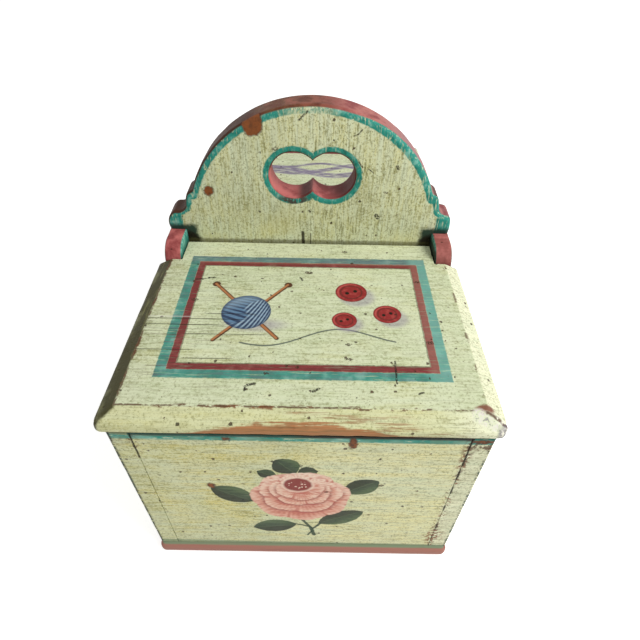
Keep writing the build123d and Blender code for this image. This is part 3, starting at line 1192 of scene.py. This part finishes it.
    def bare_front(self, coat: Coat, u: Value, v: Value, jog: Value) -> None:
        """The front edge rubbed to the wood by hands, the streaks above it, and a dark line along the
        lid's lower edge, partly worn edge and partly painted shade of the gap below it.

        Args:
            coat: The paint.
            u: The place across.
            v: The place along the depth, below zero on both lids.
            jog: How ragged the edge is.
        """
        s, tree = self.sizes, coat.tree
        front = (v + s.lid_front).fall(self.bevel_run - 2, self.bevel_run)
        streak = tree.noise(tree.stretched(Grain.ACROSS, 12.0, 0.05), 1.3, 4.0, 0.65)
        above = tree.z - s.lid_bottom
        place = (u + 2.0) / 68.0
        reach = (1.0 - place * place) * 9.2 + jog * 0.7 + (streak - 0.5) * 7.0
        bare = (reach - above).rise(-0.5, 1.0) * front
        fibre = tree.noise(tree.stretched(Grain.ACROSS, 2.0), 0.9, 3.0, 0.6)
        wood = tree.layers(Tint.BARE_WOOD, (Tint.AGED_WOOD, fibre.rise(0.4, 0.6)),
                           (Tint.DARK_WOOD, fibre.rise(0.58, 0.72) * 0.5))
        place = (u - 18.0) / 76.0
        drawn = (1.0 - place * place) * 11.0 + jog + (streak - 0.5) * 10.0
        smear = (drawn - above).rise(-1.0, 1.5) * front * streak.rise(0.5, 0.6)
        coat.lay(Tint.CHESTNUT, smear * u.rise(-30, 6) * 0.6)
        coat.lay(wood, bare * 0.95)
        coat.height = coat.height * (1.0 - bare) + bare * 0.3
        # partly worn edge, partly painted shade of the gap under the lid
        coat.lay(Tint.PLUM_BROWN, above.fall(0.6, 1.8) * 0.75)

    def knocked_corner(self, coat: Coat, p: Value, q: Value) -> None:
        """The front right corner, knocked down to brick, gesso and dark wood.

        Args:
            coat: The paint.
            p: The place across, ragged.
            q: The place along the depth, ragged.
        """
        s, tree = self.sizes, coat.tree
        x, y = s.lid_half, -s.lid_front
        brick = tree.spot(p, q, Oval(x - 11.5, y + 10.5, 4.6, 3.0), 0.8)
        chalk = tree.stroke(p, q, Stroke((x - 15.0, y + 7.5), (x - 1.5, y + 2.5), 6.5), 1.5)
        cut = tree.stroke(p, q, Stroke((x - 11.0, y + 9.0), (x - 0.5, y + 3.5), 1.6), 0.5)
        tip = tree.spot(p, q, Oval(x - 1.5, y + 1.5, 4.6, 3.4), 1.0)
        tip = tip * (tree.z - s.lid_bottom).fall(6.0, 10.0)
        flecked = tree.clouds(2.4, 4.0, 0.7)
        powder = tree.layers(Tint.GESSO, (Tint.CREAM, flecked.rise(0.42, 0.54)),
                             (Tint.SLATE_MARK, flecked.rise(0.56, 0.66) * 0.8))
        coat.lay(Tint.BRICK, brick * 0.9)
        coat.lay(powder, chalk * flecked.rise(0.3, 0.42) * 0.92)
        coat.lay(Tint.DARK_WOOD, cut * flecked.rise(0.34, 0.46) * 0.9)
        coat.lay(Tint.SLATE_MARK, tip * flecked.rise(0.38, 0.5) * 0.75)
        coat.sink(chalk, 0.4)


@dataclass(frozen=True)
class WallFinish:
    """Paint of the four walls: cream outside with a line under the lid and a rose, bare wood inside."""

    sizes: Sizes
    line_width: float = 5.4
    losses: tuple[Oval, ...] = (
        Oval(26.5, 138.0, 1.9, 4.4), Oval(-38.0, 140.0, 1.6, 1.2), Oval(-52.5, 91.5, 1.8, 2.6),
        Oval(92.0, 141.0, 5.0, 1.2), Oval(14.0, 86.0, 0.6, 0.6))

    def make(self) -> bpy.types.Material:
        """Makes the material.

        Returns:
            The finished material.
        """
        s = self.sizes
        tree = Tree("wall_paint")
        x, y, z = tree.x, tree.y, tree.z
        jog_x, jog_y, jog_z = tree.wobble(2.6, 0.6)
        coat = self.ground(tree)
        ends = abs(y).rise(s.half_depth - 1.2, s.half_depth - 0.2)
        self.lines(coat, z + jog_z)
        Rose(centre=(-1.0, 80.0)).paint(coat, x + jog_x * 0.9, z + jog_z * 0.9, ends)
        self.joints(coat, ends)
        front = y.fall(-s.half_depth + 0.4, -s.half_depth + 1.0)
        wood = tree.mix(Tint.CHESTNUT, Tint.DARK_WOOD, tree.clouds(2.2, 3.0).rise(0.36, 0.6))
        chip(coat, x + jog_x * 3.2, z + jog_z * 3.2, self.losses, front, wood)
        self.ears(coat, jog_y)
        inside = self.inside(tree)
        coat.lay(bare_wood(tree, Grain.ALONG), inside)
        return coat.finish(0.46 + tree.clouds(8.0) * 0.2 + inside * 0.2, 0.2)

    def ground(self, tree: Tree) -> Coat:
        """The brushed cream paint, yellower at the left, paler to the right as painted light, with painted
        shade at the sides and top, and streaks that run round all four walls.

        Args:
            tree: The material.

        Returns:
            The paint.
        """
        s, x, z = self.sizes, tree.x, tree.z
        tone = tree.clouds(34.0, 3.0)
        strip = abs(x).rise(s.half_width - s.side - 2, s.half_width - s.side)
        middle = tree.layers(
            Tint.BUTTER,
            (Tint.STRAW, (tone - x * 0.003).rise(0.3, 0.7) * 0.5),
            # painted light: paler towards the right
            (Tint.PRIMROSE, (tone + x * 0.006).rise(0.36, 0.7) * 0.85),
            (Tint.CELADON, (tone + x * 0.002).fall(0.34, 0.5) * 0.4),
            # painted light: paler on the right side board
            (Tint.PEARL, strip * x.rise(-5, 5) * 0.85))
        light = tree.mix(middle, Tint.CREAM, 0.75)
        coat = brushed(tree, Grain.ACROSS, light, middle, Tint.OLIVE, 0.58, 14.0, tree.round_the_box())
        # painted shade near the side edges and under the lids
        painted_edge_and_top_shade = abs(x).rise(s.half_width - 22, s.half_width - 2) * 0.12 + z.rise(116, 140) * 0.12
        coat.lay(Tint.OLIVE, painted_edge_and_top_shade * tree.clouds(7.0, 3.0).rise(0.36, 0.6))
        scars(coat, 1.0, 8.0)
        return coat

    def lines(self, coat: Coat, up: Value) -> None:
        """The turquoise line under the lids with painted shade just below them, and the dull line above
        the base with painted shade in its crease.

        Args:
            coat: The paint.
            up: The place up, ragged.
        """
        s, tree = self.sizes, coat.tree
        streak = tree.noise(tree.stretched(Grain.ACROSS, 45.0), 2.0, 3.0)
        rubbed = tree.noise(tree.stretched(Grain.ACROSS, 29.0, 0.3), 2.4, 4.0, 0.65)
        blue = tree.layers(
            Tint.TURQUOISE,
            (Tint.PALE_TURQUOISE, tree.clouds(12.0).rise(0.4, 0.7)),
            (Tint.VERDIGRIS, rubbed.rise(0.46, 0.56) * 0.5),
            (Tint.CREAM, rubbed.fall(0.34, 0.44) * 0.6))
        top = up.rise(s.wall_top - self.line_width - 0.5, s.wall_top - self.line_width + 0.5)
        coat.lay(blue, top * (1.0 - streak.rise(0.54, 0.7) * 0.6))
        # painted shade under the lids' overhang
        coat.lay(Tint.DEEP_TEAL, up.rise(s.wall_top - 2.4, s.wall_top - 0.6) * 0.55)
        foot = (up + tree.x * 0.012).fall(s.base + 1.8, s.base + 3.8)
        coat.lay(Tint.VERDIGRIS, foot * (0.9 - streak.rise(0.46, 0.62) * 0.5) * 0.8)
        # painted shade in the crease where the walls meet the base
        coat.lay(Tint.DEEP_TEAL, up.fall(s.base + 0.2, s.base + 2.0) * 0.25)

    def joints(self, coat: Coat, ends: Value) -> None:
        """Dark broken lines where the panels meet the sides, flaked along the right one, and a dark line
        down the outer corners, partly dirt and partly painted shade, heavier on the left.

        Args:
            coat: The paint.
            ends: 1 on the front and back faces.
        """
        s, tree = self.sizes, coat.tree
        x, z = tree.x, tree.z
        joint = s.half_width - s.side
        jog, _, jog_z = tree.wobble(6.0, 1.1)
        off = abs(abs(x) - joint + jog * 0.5)
        broken = tree.noise(tree.stretched(Grain.ACROSS, 4.0, 0.1), 11.0, 4.0, 0.62)
        crumbs = tree.clouds(2.4, 4.0, 0.65)
        right = x.rise(-5, 5)
        top = z.rise(116, 124)
        shown = top * 0.2 + right * (z.rise(60, 76) * 0.1 - 0.02) - (1.0 - right) * (1.0 - top) * 0.12
        line = off.fall(0.25, 0.85) * (broken + shown).rise(0.5, 0.57) * ends
        heavy = z.rise(96, 118) + z.fall(38, 52)
        torn = off.fall(0.8, 4.6) * (crumbs + heavy * 0.08).rise(0.55, 0.61) * ends * right
        torn = torn.most(off.fall(0.8, 3.6) * (crumbs + top * 0.05).rise(0.63, 0.67) * ends)
        coat.lay(tree.mix(Tint.CHESTNUT, Tint.DARK_WOOD, broken.rise(0.36, 0.56)), torn * 0.88)
        coat.lay(Tint.SOOT, line * 0.85)
        near_end = abs(tree.y).rise(s.half_depth - 4.0, s.half_depth - 2.5)
        # partly dirt, partly painted shade down the outer corners, heavier on the left
        edge = (abs(x) + jog * 0.3).rise(s.half_width - 2.6, s.half_width - 1.5) * near_end
        coat.lay(tree.mix(Tint.SOOT, Tint.DEEP_TEAL, crumbs.rise(0.5, 0.6)),
                 edge * (crumbs + x.fall(-5, 5) * 0.07).rise(0.42, 0.58) * 0.92)
        low = tree.spot(x + jog * 1.5, z + jog_z, Oval(joint + 1.0, 27.0, 7.0, 8.0), 3.0)
        coat.lay(Tint.CHESTNUT, low * ends * crumbs.rise(0.5, 0.58) * 0.8)
        corner = Oval(s.half_width - 3.0, s.wall_top - 7.0, 7.5, 4.5)
        corner = tree.spot(abs(x) + jog, z + jog_z, corner, 1.5)
        coat.lay(Tint.DARK_WOOD, corner * ends * crumbs.rise(0.44, 0.56) * (0.3 + right * 0.55))
        coat.sink((line + torn).least(1.0), 0.6)

    def ears(self, coat: Coat, jog: Value) -> None:
        """Rose-red tops of the ears, turquoise on the sides that face each other, with a painted highlight
        along their top edge and painted shade low down and on the right ear's side.

        Args:
            coat: The paint.
            jog: How ragged the paint's edge is.
        """
        s, tree = self.sizes, coat.tree
        inner = s.half_width - s.side
        out, right = abs(tree.x), tree.x.rise(-5, 5)
        up = tree.z.rise(s.wall_top + 0.2, s.wall_top + 1.0)
        red = tree.layers(
            Tint.ROSE_RED,
            (Tint.DUSTY_PINK, tree.clouds(9.0, 4.0, 0.62).rise(0.36, 0.72)),
            (Tint.FADED_RED, right * 0.25),
            (Tint.PLUM_BROWN, right * tree.z.fall(s.lid_top, s.ear_top - 2) * 0.4),
            (Tint.PLUM_BROWN, tree.flecks(5.0, 0.4, 1.0, shift=77.0) * 0.85))
        coat.lay(red, up * out.within(inner + 0.9, s.half_width - 0.5, 0.35))
        facing = out.fall(inner + 0.5, inner + 1.2) * tree.z.rise(s.wall_top - 3, s.wall_top - 1)
        streak = tree.noise(tree.stretched(Grain.UPRIGHT, 15.0, 0.2), 2.0, 3.0).rise(0.36, 0.6)
        # painted highlight: pale turquoise near the top edge
        pale = (tree.z + jog * 3).rise(s.ear_top - 12, s.ear_top - 1) * streak
        # painted shade: deep teal low down, black on the right ear's side
        blue = tree.layers(
            Tint.DEEP_TEAL,
            (tree.mix(Tint.TURQUOISE, Tint.PALE_TURQUOISE, pale),
             tree.z.rise(s.lid_top - 3, s.lid_top + 6)),
            (Tint.SOOT, right * (0.9 - tree.z.rise(s.ear_top - 4, s.ear_top - 1) * 0.5)))
        coat.lay(blue, facing)

    def inside(self, tree: Tree) -> Value:
        """1 on the faces that only show when a lid is open.

        Args:
            tree: The material.

        Returns:
            The mask.
        """
        s = self.sizes
        within_x = abs(tree.x).fall(s.half_width - 1.6, s.half_width - 0.6)
        within_y = abs(tree.y).fall(s.half_depth - 1.6, s.half_depth - 0.6)
        return within_x * within_y * tree.z.fall(s.wall_top - 0.4, s.wall_top + 0.4)


@dataclass(frozen=True)
class Leaf:
    """A painted leaf from its stalk to its tip, in millimetres on the panel."""

    stalk: Place
    tip: Place
    width: float

    def paint(self, coat: Coat, u: Value, v: Value, brush: Value, face: Value) -> None:
        """Lays the leaf over the paint, pointed at both ends, with a pale vein.

        Args:
            coat: The paint.
            u: The place across.
            v: The place up the face.
            brush: The brush marks.
            face: 1 on the faces that bear the rose.
        """
        tree = coat.tree
        length = math.dist(self.stalk, self.tip)
        cosine = (self.tip[0] - self.stalk[0]) / length
        sine = (self.tip[1] - self.stalk[1]) / length
        a, b = u - self.stalk[0], v - self.stalk[1]
        along = (a * cosine + b * sine) / length
        aside = b * cosine - a * sine
        swell = (along * (1.0 - along)).most(0.0) ** 0.78 * (self.width * 2.95)
        vein = abs(aside - swell * 0.06).fall(0.1, 0.55) * along.within(0.1, 0.86, 0.05)
        green = tree.layers(
            Tint.LEAF,
            (Tint.LEAF_DARK, (brush + aside * 0.06).rise(0.42, 0.62)),
            (Tint.LEAF_LIGHT, (brush - aside * 0.05).rise(0.6, 0.8) * 0.7),
            (Tint.LEAF_LIGHT, vein * 0.45))
        coat.lay(green, (swell - abs(aside)).rise(0.0, 0.7) * face * 0.95)


@dataclass(frozen=True)
class Petals:
    """A ring of petals: its height over the rose's middle, its size, its scallops, and its shades."""

    rise: float
    radius: float
    lobes: int
    scallop: float
    turn: float
    glow: float
    shadow: float = 0.5

    def paint(self, coat: Coat, a: Value, b: Value, brush: Value, face: Value) -> None:
        """Lays the ring over the paint, deep at its foot and pale at its lip.

        Args:
            coat: The paint.
            a: The place across, from the rose's middle.
            b: The place up, from the rose's middle.
            brush: The brush marks.
            face: 1 on the faces that bear the rose.
        """
        tree = coat.tree
        b = b - self.rise
        angle = tree.maths("ARCTAN2", b, a)
        wave = (angle * (self.lobes / 2) + self.turn).sine()
        inset = self.radius + abs(wave) * self.scallop - tree.length(a, b)
        strands = (angle * 46.0 + brush * 9.0).sine()
        lip = inset.fall(1.4, 5.0) * (0.55 + strands * 0.35 + b * 0.012)
        touch = tree.noise(tree.stretched(Grain.ACROSS, self.radius, 0.3), 1.5, 3.0, 0.6)
        cleft = abs(wave).fall(0.05, 0.22) * inset.fall(2.0, 9.0)
        tone = tree.layers(
            Tint.PETAL_DEEP,
            (Tint.PETAL, (inset * -0.09 + 1.0 + strands * 0.12).rise(0.1, 0.75)),
            (Tint.PETAL_LIGHT, lip.most(0.0).least(1.0) * self.glow),
            (Tint.PETAL_LIGHT, touch.rise(0.5, 0.6) * (0.5 + b * 0.016).most(0.15)),
            (Tint.PETAL_DEEP, touch.fall(0.36, 0.46) * 0.55),
            (Tint.PETAL_DEEP, cleft * 0.8))
        if self.shadow:
            below = inset.rise(-2.2, 0.2) * (1.0 - inset.rise(0.0, 0.8)) * b.fall(-2, 8)
            coat.lay(Tint.ROSE_HEART, below * face * self.shadow)
        coat.lay(tone, inset.rise(0.0, 0.9) * face)


@dataclass(frozen=True)
class Rose:
    """A folk rose with leaves, built up from rings of scalloped petals."""

    centre: Place
    stalks: tuple[Stroke, ...] = (
        Stroke((-1.0, 50.0), (5.0, 37.0), 2.0), Stroke((5.0, 37.0), (7.2, 26.0), 2.6),
        Stroke((4.5, 38.5), (-5.0, 42.5), 1.6), Stroke((5.5, 34.0), (11.0, 43.5), 1.8),
        Stroke((6.0, 32.0), (3.0, 25.5), 1.4))
    leaves: tuple[Leaf, ...] = (
        Leaf((-29.0, 73.0), (-53.0, 89.5), 9.4), Leaf((25.0, 85.0), (43.5, 99.5), 8.8),
        Leaf((-3.5, 107.0), (-14.0, 121.0), 8.4), Leaf((-14.5, 103.0), (-25.0, 108.5), 5.0),
        Leaf((-2.5, 107.0), (9.0, 109.5), 6.0), Leaf((-4.0, 42.0), (-32.5, 36.5), 9.0),
        Leaf((10.0, 43.5), (37.5, 61.5), 8.8))
    rings: tuple[Petals, ...] = (
        Petals(-1.6, 28.2, 7, 2.4, 0.3, 0.7, shadow=0.0), Petals(3.0, 22.6, 5, 2.4, 1.1, 1.0),
        Petals(7.0, 17.2, 5, 1.6, 0.2, 1.0), Petals(9.5, 13.4, 4, 1.2, 0.9, 1.0))

    def paint(self, coat: Coat, u: Value, v: Value, face: Value) -> None:
        """Lays the whole ornament over the paint.

        Args:
            coat: The paint.
            u: The place across.
            v: The place up the face.
            face: 1 on the faces that bear the rose.
        """
        tree = coat.tree
        brush = tree.noise(tree.stretched(Grain.ACROSS, 3.0), 1.2, 3.0)
        for stalk in self.stalks:
            coat.lay(Tint.LEAF, tree.stroke(u, v, stalk) * face * 0.92)
        for leaf in self.leaves:
            leaf.paint(coat, u, v, brush, face)
        sway_u, sway_v, _ = tree.wobble(9.0, 2.0)
        for ring in self.rings:
            ring.paint(coat, u + sway_u - self.centre[0], v + sway_v - self.centre[1], brush, face)
        self.heart(coat, u, v, face)

    def heart(self, coat: Coat, u: Value, v: Value, face: Value) -> None:
        """The dark heart with its pale stamens.

        Args:
            coat: The paint.
            u: The place across.
            v: The place up the face.
            face: 1 on the faces that bear the rose.
        """
        tree = coat.tree
        across, up = self.centre[0] - 1.6, self.centre[1] + 13.8
        rim = tree.spot(u, v, Oval(across, up, 9.8, 9.0), 0.7)
        well = tree.spot(u, v, Oval(across, up, 8.0, 7.4), 0.9)
        low = tree.spot(u, v, Oval(across, up - 0.8, 6.0, 5.0), 0.8)
        coat.lay(Tint.PETAL_LIGHT, rim * face * 0.7)
        coat.lay(Tint.ROSE_HEART, well * face)
        coat.lay(Tint.PETAL_LIGHT, tree.flecks(1.9, 0.95, 0.85, shift=33.0) * low * face * 0.9)


def base_finish(sizes: Sizes) -> bpy.types.Material:
    """Paint of the bottom board: rose red on its rounded edge, bare wood above and below.

    Args:
        sizes: The carrier's sizes.

    Returns:
        The material.
    """
    tree = Tree("base_paint")
    clouds = tree.noise(tree.stretched(Grain.ACROSS, 6.0), 5.0, 3.0)
    inside = abs(tree.x).fall(sizes.half_width - 2, sizes.half_width - 1)
    inside = inside * abs(tree.y).fall(sizes.half_depth - 2, sizes.half_depth - 1)
    line = tree.z.rise(sizes.base - 1.5, sizes.base - 0.7)
    colour = tree.layers(
        Tint.ROSE_RED,
        (Tint.FADED_RED, clouds.rise(0.2, 0.5) * 0.85),
        (Tint.GESSO, tree.flecks(12.0, 0.12, 0.9, (0.4, 1, 1)) * 0.6),
        (Tint.PLUM_BROWN, tree.flecks(9.0, 0.25, 1.1, (0.5, 1, 1), 19.0) * 0.7),
        (Tint.VERDIGRIS, line * (0.9 - clouds.rise(0.5, 0.66) * 0.4)),
        (Tint.DARK_WOOD, tree.z.fall(0.2, 1.6) * 0.5),
        (bare_wood(tree, Grain.ALONG), inside))
    return Coat(tree, colour, clouds).finish(0.48 + clouds * 0.16, 0.12)


def iron_finish() -> bpy.types.Material:
    """Dark iron with rust, for the hinge nails.

    Returns:
        The finished material.
    """
    tree = Tree("old_iron")
    patches = tree.clouds(1.4, 4.0, 0.65)
    colour = tree.mix(Tint.IRON, Tint.RUST, patches.rise(0.48, 0.66))
    return Coat(tree, colour, patches).finish(0.45 + patches * 0.4, 0.08, 0.6)


def painted_nail_finish() -> bpy.types.Material:
    """A nail head that was painted over with the wall.

    Returns:
        The finished material.
    """
    tree = Tree("painted_nail")
    patches = tree.clouds(1.6, 3.0, 0.6)
    colour = tree.layers(Tint.CELADON, (Tint.OLIVE, patches.rise(0.35, 0.6) * 0.7),
                         (Tint.RUST, patches.rise(0.56, 0.64)))
    return Coat(tree, colour, patches).finish(0.55, 0.08)


@dataclass(frozen=True)
class Dent:
    """A knock in a board: its middle and reach in the carrier's frame, and its depth, in millimetres."""

    place: tuple[float, float, float]
    reach: float
    depth: float

    def at(self, place: Vector) -> float:
        """How deep the knock is at a place.

        Args:
            place: The place, in millimetres.

        Returns:
            The depth in millimetres.
        """
        near = (place - Vector(self.place)).length / self.reach
        ragged = 0.6 + 0.6 * noise.noise(place / 2.2)
        return self.depth * max(0.0, 1 - near * near) * ragged


@dataclass
class WornBoard:
    """A board as its solid gives it, with a hand-planed surface, softened edges and knocks.

    Attributes:
        node: The solid that the piece stands for.
        body: The body that it moves with.
        slot: The name of its material slot; not used.
        material: Its finish.
        pitch: The grid's step, in millimetres.
        wave: How deep the planed surface dips, in millimetres.
        rub: How deep its edges are worn, in millimetres.
        crease: From how many degrees an edge stays sharp.
        merge: Points closer than this become one, in millimetres.
        flat: Faces that turn by less than this become one, in degrees.
        snap: A cut keeps to points closer than this, in millimetres.
        dents: The knocks.
        spared: The hinges, along Y and Z in millimetres, round which nothing moves.
        spared_reach: How far from a hinge that is, in millimetres.
    """

    node: str
    body: str
    slot: str
    material: bpy.types.Material
    pitch: float = 2.5
    wave: float = 0.12
    rub: float = 1.6
    crease: float = 32.0
    merge: float = 0.002
    flat: float = 0.2
    snap: float = 0.01
    dents: tuple[Dent, ...] = ()
    spared: tuple[Place, ...] = ()
    spared_reach: float = 5.0

    def build(self, source: bpy.types.Object) -> bpy.types.Object:
        """Makes the piece and hides the solid that it stands for.

        Args:
            source: The solid's own object.

        Returns:
            The new piece.
        """
        bm = bmesh.new()
        bm.from_mesh(source.data)
        bmesh.ops.remove_doubles(bm, verts=bm.verts, dist=self.merge * MM)
        flat = math.radians(self.flat)
        bmesh.ops.dissolve_limit(bm, angle_limit=flat, verts=bm.verts, edges=bm.edges)
        self.cut_grid(bm)
        self.wear(bm)
        mesh = bpy.data.meshes.new(f"{self.node}_worn")
        bm.to_mesh(mesh)
        bm.free()
        mesh.polygons.foreach_set("use_smooth", [True] * len(mesh.polygons))
        mesh.set_sharp_from_angle(angle=math.radians(self.crease))
        mesh.materials.append(self.material)
        piece = bpy.data.objects.new(f"{self.node}_worn", mesh)
        bpy.context.scene.collection.objects.link(piece)
        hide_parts(self.node)
        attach(piece, self.body)
        log.info("%s: %d faces", piece.name, len(mesh.polygons))
        return piece

    def cut_grid(self, bm: bmesh.types.BMesh) -> None:
        """Cuts the faces into a grid fine enough for the surface to move.

        Args:
            bm: The board's mesh.
        """
        low = Vector([min(v.co[i] for v in bm.verts) for i in range(3)])
        high = Vector([max(v.co[i] for v in bm.verts) for i in range(3)])
        for axis in range(3):
            count = max(1, round((high[axis] - low[axis]) / (self.pitch * MM)))
            normal = Vector([1.0 if i == axis else 0.0 for i in range(3)])
            for step in range(1, count):
                place = low + (high - low) * (step / count)
                geometry = bm.verts[:] + bm.edges[:] + bm.faces[:]
                bmesh.ops.bisect_plane(
                    bm, geom=geometry, plane_co=place, plane_no=normal, dist=self.snap * MM)

    def wear(self, bm: bmesh.types.BMesh) -> None:
        """Moves the surface inwards: a little everywhere, more on edges, most at the dents.

        Args:
            bm: The board's mesh.
        """
        bm.normal_update()
        depths = {vert: self.worn_depth(vert.co * PER_METRE, vert.normal) for vert in bm.verts}
        for vert, depth in depths.items():
            vert.co -= vert.normal * (depth * MM)

    def worn_depth(self, place: Vector, normal: Vector) -> float:
        """How much has gone from the surface at a place, which is nothing round the hinges.

        Args:
            place: The place, in millimetres.
            normal: The surface's direction there.

        Returns:
            The depth in millimetres.
        """
        if any(math.hypot(place.y - y, place.z - z) < self.spared_reach for y, z in self.spared):
            return 0.0
        slow = noise.noise(place / 38.0) * 0.5 + 0.5
        quick = noise.noise(place / 6.0) * 0.5 + 0.5
        edge = 1.0 - max(abs(part) for part in normal)
        rubbed = max(0.0, noise.noise(place / 11.0 + Vector((7.0, 3.0, 1.0))))
        planed = self.wave * (0.7 * slow + 0.3 * quick)
        return planed + edge * rubbed * self.rub + sum(dent.at(place) for dent in self.dents)


@dataclass
class Studio:
    """Camera, lamp, floor and backdrop.

    The camera's place, lens and sensor are in millimetres and its angles in degrees. The rest is in
    metres and watts.
    """

    eye: tuple[float, float, float] = (7.66, -297.06, 349.24)
    pitch: float = 43.28
    yaw: float = 0.246
    roll: float = 1.196
    lens: float = 26.694
    sensor: float = 36.0
    nearest: float = 0.01
    lamp_place: tuple[float, float, float] = (0.85, -0.45, 1.05)
    lamp_aim: tuple[float, float, float] = (0.0, -0.03, 0.1)
    lamp_size: float = 0.7
    lamp_power: float = 13.0
    lamp_colour: tuple[float, float, float] = (1.0, 0.985, 0.95)
    room_light: float = 0.5
    floor_half: float = 6.0
    floor_colour: tuple[float, float, float, float] = (0.86, 0.86, 0.85, 1.0)
    floor_glow: float = 0.64

    def build(self) -> None:
        """Sets up everything round the carrier."""
        self.camera()
        self.lamp()
        self.room()
        self.floor()
        bpy.context.scene.view_settings.view_transform = "Standard"

    def camera(self) -> None:
        """The camera, above and in front of the carrier."""
        pitch, yaw, roll = (math.radians(a) for a in (self.pitch, self.yaw, self.roll))
        level = math.cos(pitch)
        ahead = Vector((math.sin(yaw) * level, math.cos(yaw) * level, -math.sin(pitch)))
        right = Vector((math.cos(yaw), -math.sin(yaw), 0.0))
        up = right.cross(ahead)
        turned_right = right * math.cos(roll) + up * math.sin(roll)
        turned_up = up * math.cos(roll) - right * math.sin(roll)
        data = bpy.data.cameras.new("camera")
        data.lens = self.lens
        data.sensor_width = self.sensor
        data.clip_start = self.nearest
        camera = bpy.data.objects.new("camera", data)
        turn = Matrix((turned_right, turned_up, -ahead)).transposed().to_4x4()
        camera.matrix_world = Matrix.Translation(Vector(self.eye) * MM) @ turn
        bpy.context.scene.collection.objects.link(camera)
        bpy.context.scene.camera = camera

    def lamp(self) -> None:
        """A broad soft lamp at the front right."""
        data = bpy.data.lights.new("window", "AREA")
        data.shape = "DISK"
        data.size = self.lamp_size
        data.energy = self.lamp_power
        data.color = self.lamp_colour
        lamp = bpy.data.objects.new("window", data)
        lamp.location = self.lamp_place
        way = Vector(self.lamp_aim) - Vector(self.lamp_place)
        lamp.rotation_euler = way.to_track_quat("-Z", "Y").to_euler()
        bpy.context.scene.collection.objects.link(lamp)

    def room(self) -> None:
        """Pale light all round, and a white background."""
        world = bpy.data.worlds.new("room")
        graph = Graph(world)
        dim, white = (
            graph.node("ShaderNodeBackground", {}, {"Color": Tint.WHITE, "Strength": strength})
            for strength in (self.room_light, 1.0))
        sky = graph.node("ShaderNodeMixShader", {}, {0: graph.background_rays(), 1: dim, 2: white})
        graph.show(sky, "ShaderNodeOutputWorld")
        bpy.context.scene.world = world

    def floor(self) -> None:
        """A pale floor that keeps the carrier's shadow."""
        bm = bmesh.new()
        bmesh.ops.create_grid(bm, x_segments=1, y_segments=1, size=self.floor_half)
        mesh = bpy.data.meshes.new("floor")
        bm.to_mesh(mesh)
        bm.free()
        tree = Tree("pale_floor")
        paper = tree.node("ShaderNodeBsdfDiffuse", {}, {"Color": self.floor_colour})
        glow = tree.node("ShaderNodeEmission", {}, {"Color": Tint.WHITE, "Strength": self.floor_glow})
        both = tree.node("ShaderNodeAddShader", {}, {0: paper, 1: glow})
        tree.show(tree.node("ShaderNodeMixShader", {}, {0: tree.background_rays(), 1: paper, 2: both}))
        mesh.materials.append(tree.material)
        floor = bpy.data.objects.new("floor", mesh)
        bpy.context.scene.collection.objects.link(floor)
        log.info("%s: stage", floor.name)


@dataclass
class Carrier:
    """The whole carrier: which finish each piece gets, and where its boards are knocked."""

    nodes: dict[str, bpy.types.Object]
    sizes: Sizes
    wood: str = "painted_wood"
    red: str = "rose_red_painted_wood"
    handled: tuple[float, ...] = (-40.0, -22.0, -4.0, 14.0, 32.0)
    back_frame_front: float = 147.5
    wall_pitch: float = 3.5
    base_pitch: float = 4.0

    def lid_knocks(self) -> tuple[Dent, ...]:
        """The front lid's knocked corners, and its edge where hands have rubbed it.

        Returns:
            The knocks.
        """
        s = self.sizes
        edge = (-s.lid_front, s.lid_top - 4)
        corners = (Dent((s.lid_half, *edge), 9.0, 1.6), Dent((-s.lid_half, *edge), 5.0, 0.9))
        return corners + tuple(Dent((x, *edge), 11.0, 0.5) for x in self.handled)

    def boards(self) -> list[WornBoard]:
        """Every board that shows, with its finish.

        Returns:
            The boards, in the order in which they are made.
        """
        s = self.sizes
        hinges = ((-s.pivot_y, s.pivot_z), (s.pivot_y, s.pivot_z))
        chipped = (Dent((-38.0, -s.board_face, s.crown - 9.0), 6.0, 0.5),)
        front = LidFinish(s, Motif.YARN_AND_BUTTONS, "front_lid_paint").make()
        back = LidFinish(s, Motif.RIBBON, "back_lid_paint", frame_front=self.back_frame_front).make()
        walls = WallFinish(s).make()
        made = [
            WornBoard("handle_board", "carrier", self.wood, BoardFinish(s).make(), dents=chipped),
            WornBoard("front_lid", "front_lid", self.wood, front, dents=self.lid_knocks(), spared=hinges),
            WornBoard("back_lid", "back_lid", self.wood, back, spared=hinges),
            WornBoard("bottom_board", "carrier", self.red, base_finish(s), pitch=self.base_pitch)]
        for node in ("left_side", "right_side", "front_panel", "back_panel"):
            made.append(WornBoard(node, "carrier", self.wood, walls, pitch=self.wall_pitch, spared=hinges))
        return made

    def dress_nails(self) -> None:
        """Gives iron to the hinge nails and the nails below, and paints the other nails' heads over."""
        iron, painted = iron_finish(), painted_nail_finish()
        for name, node in self.nodes.items():
            if name.endswith(("_pin", "_nails")):
                finish = iron if name.endswith("_pin") or "bottom" in name else painted
                node.data.materials.clear()
                node.data.materials.append(finish)
                log.info("%s: %s", name, finish.name)

    def build(self) -> None:
        """Makes every piece."""
        for board in self.boards():
            board.build(self.nodes[board.node])
        self.dress_nails()


def main() -> None:
    """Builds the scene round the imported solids."""
    logging.basicConfig(level=logging.INFO, format="%(name)s %(message)s")
    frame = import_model()
    Studio().build()
    Carrier(frame["nodes"], Sizes.from_frame(frame["joints"])).build()


if __name__ == "__main__":
    main()
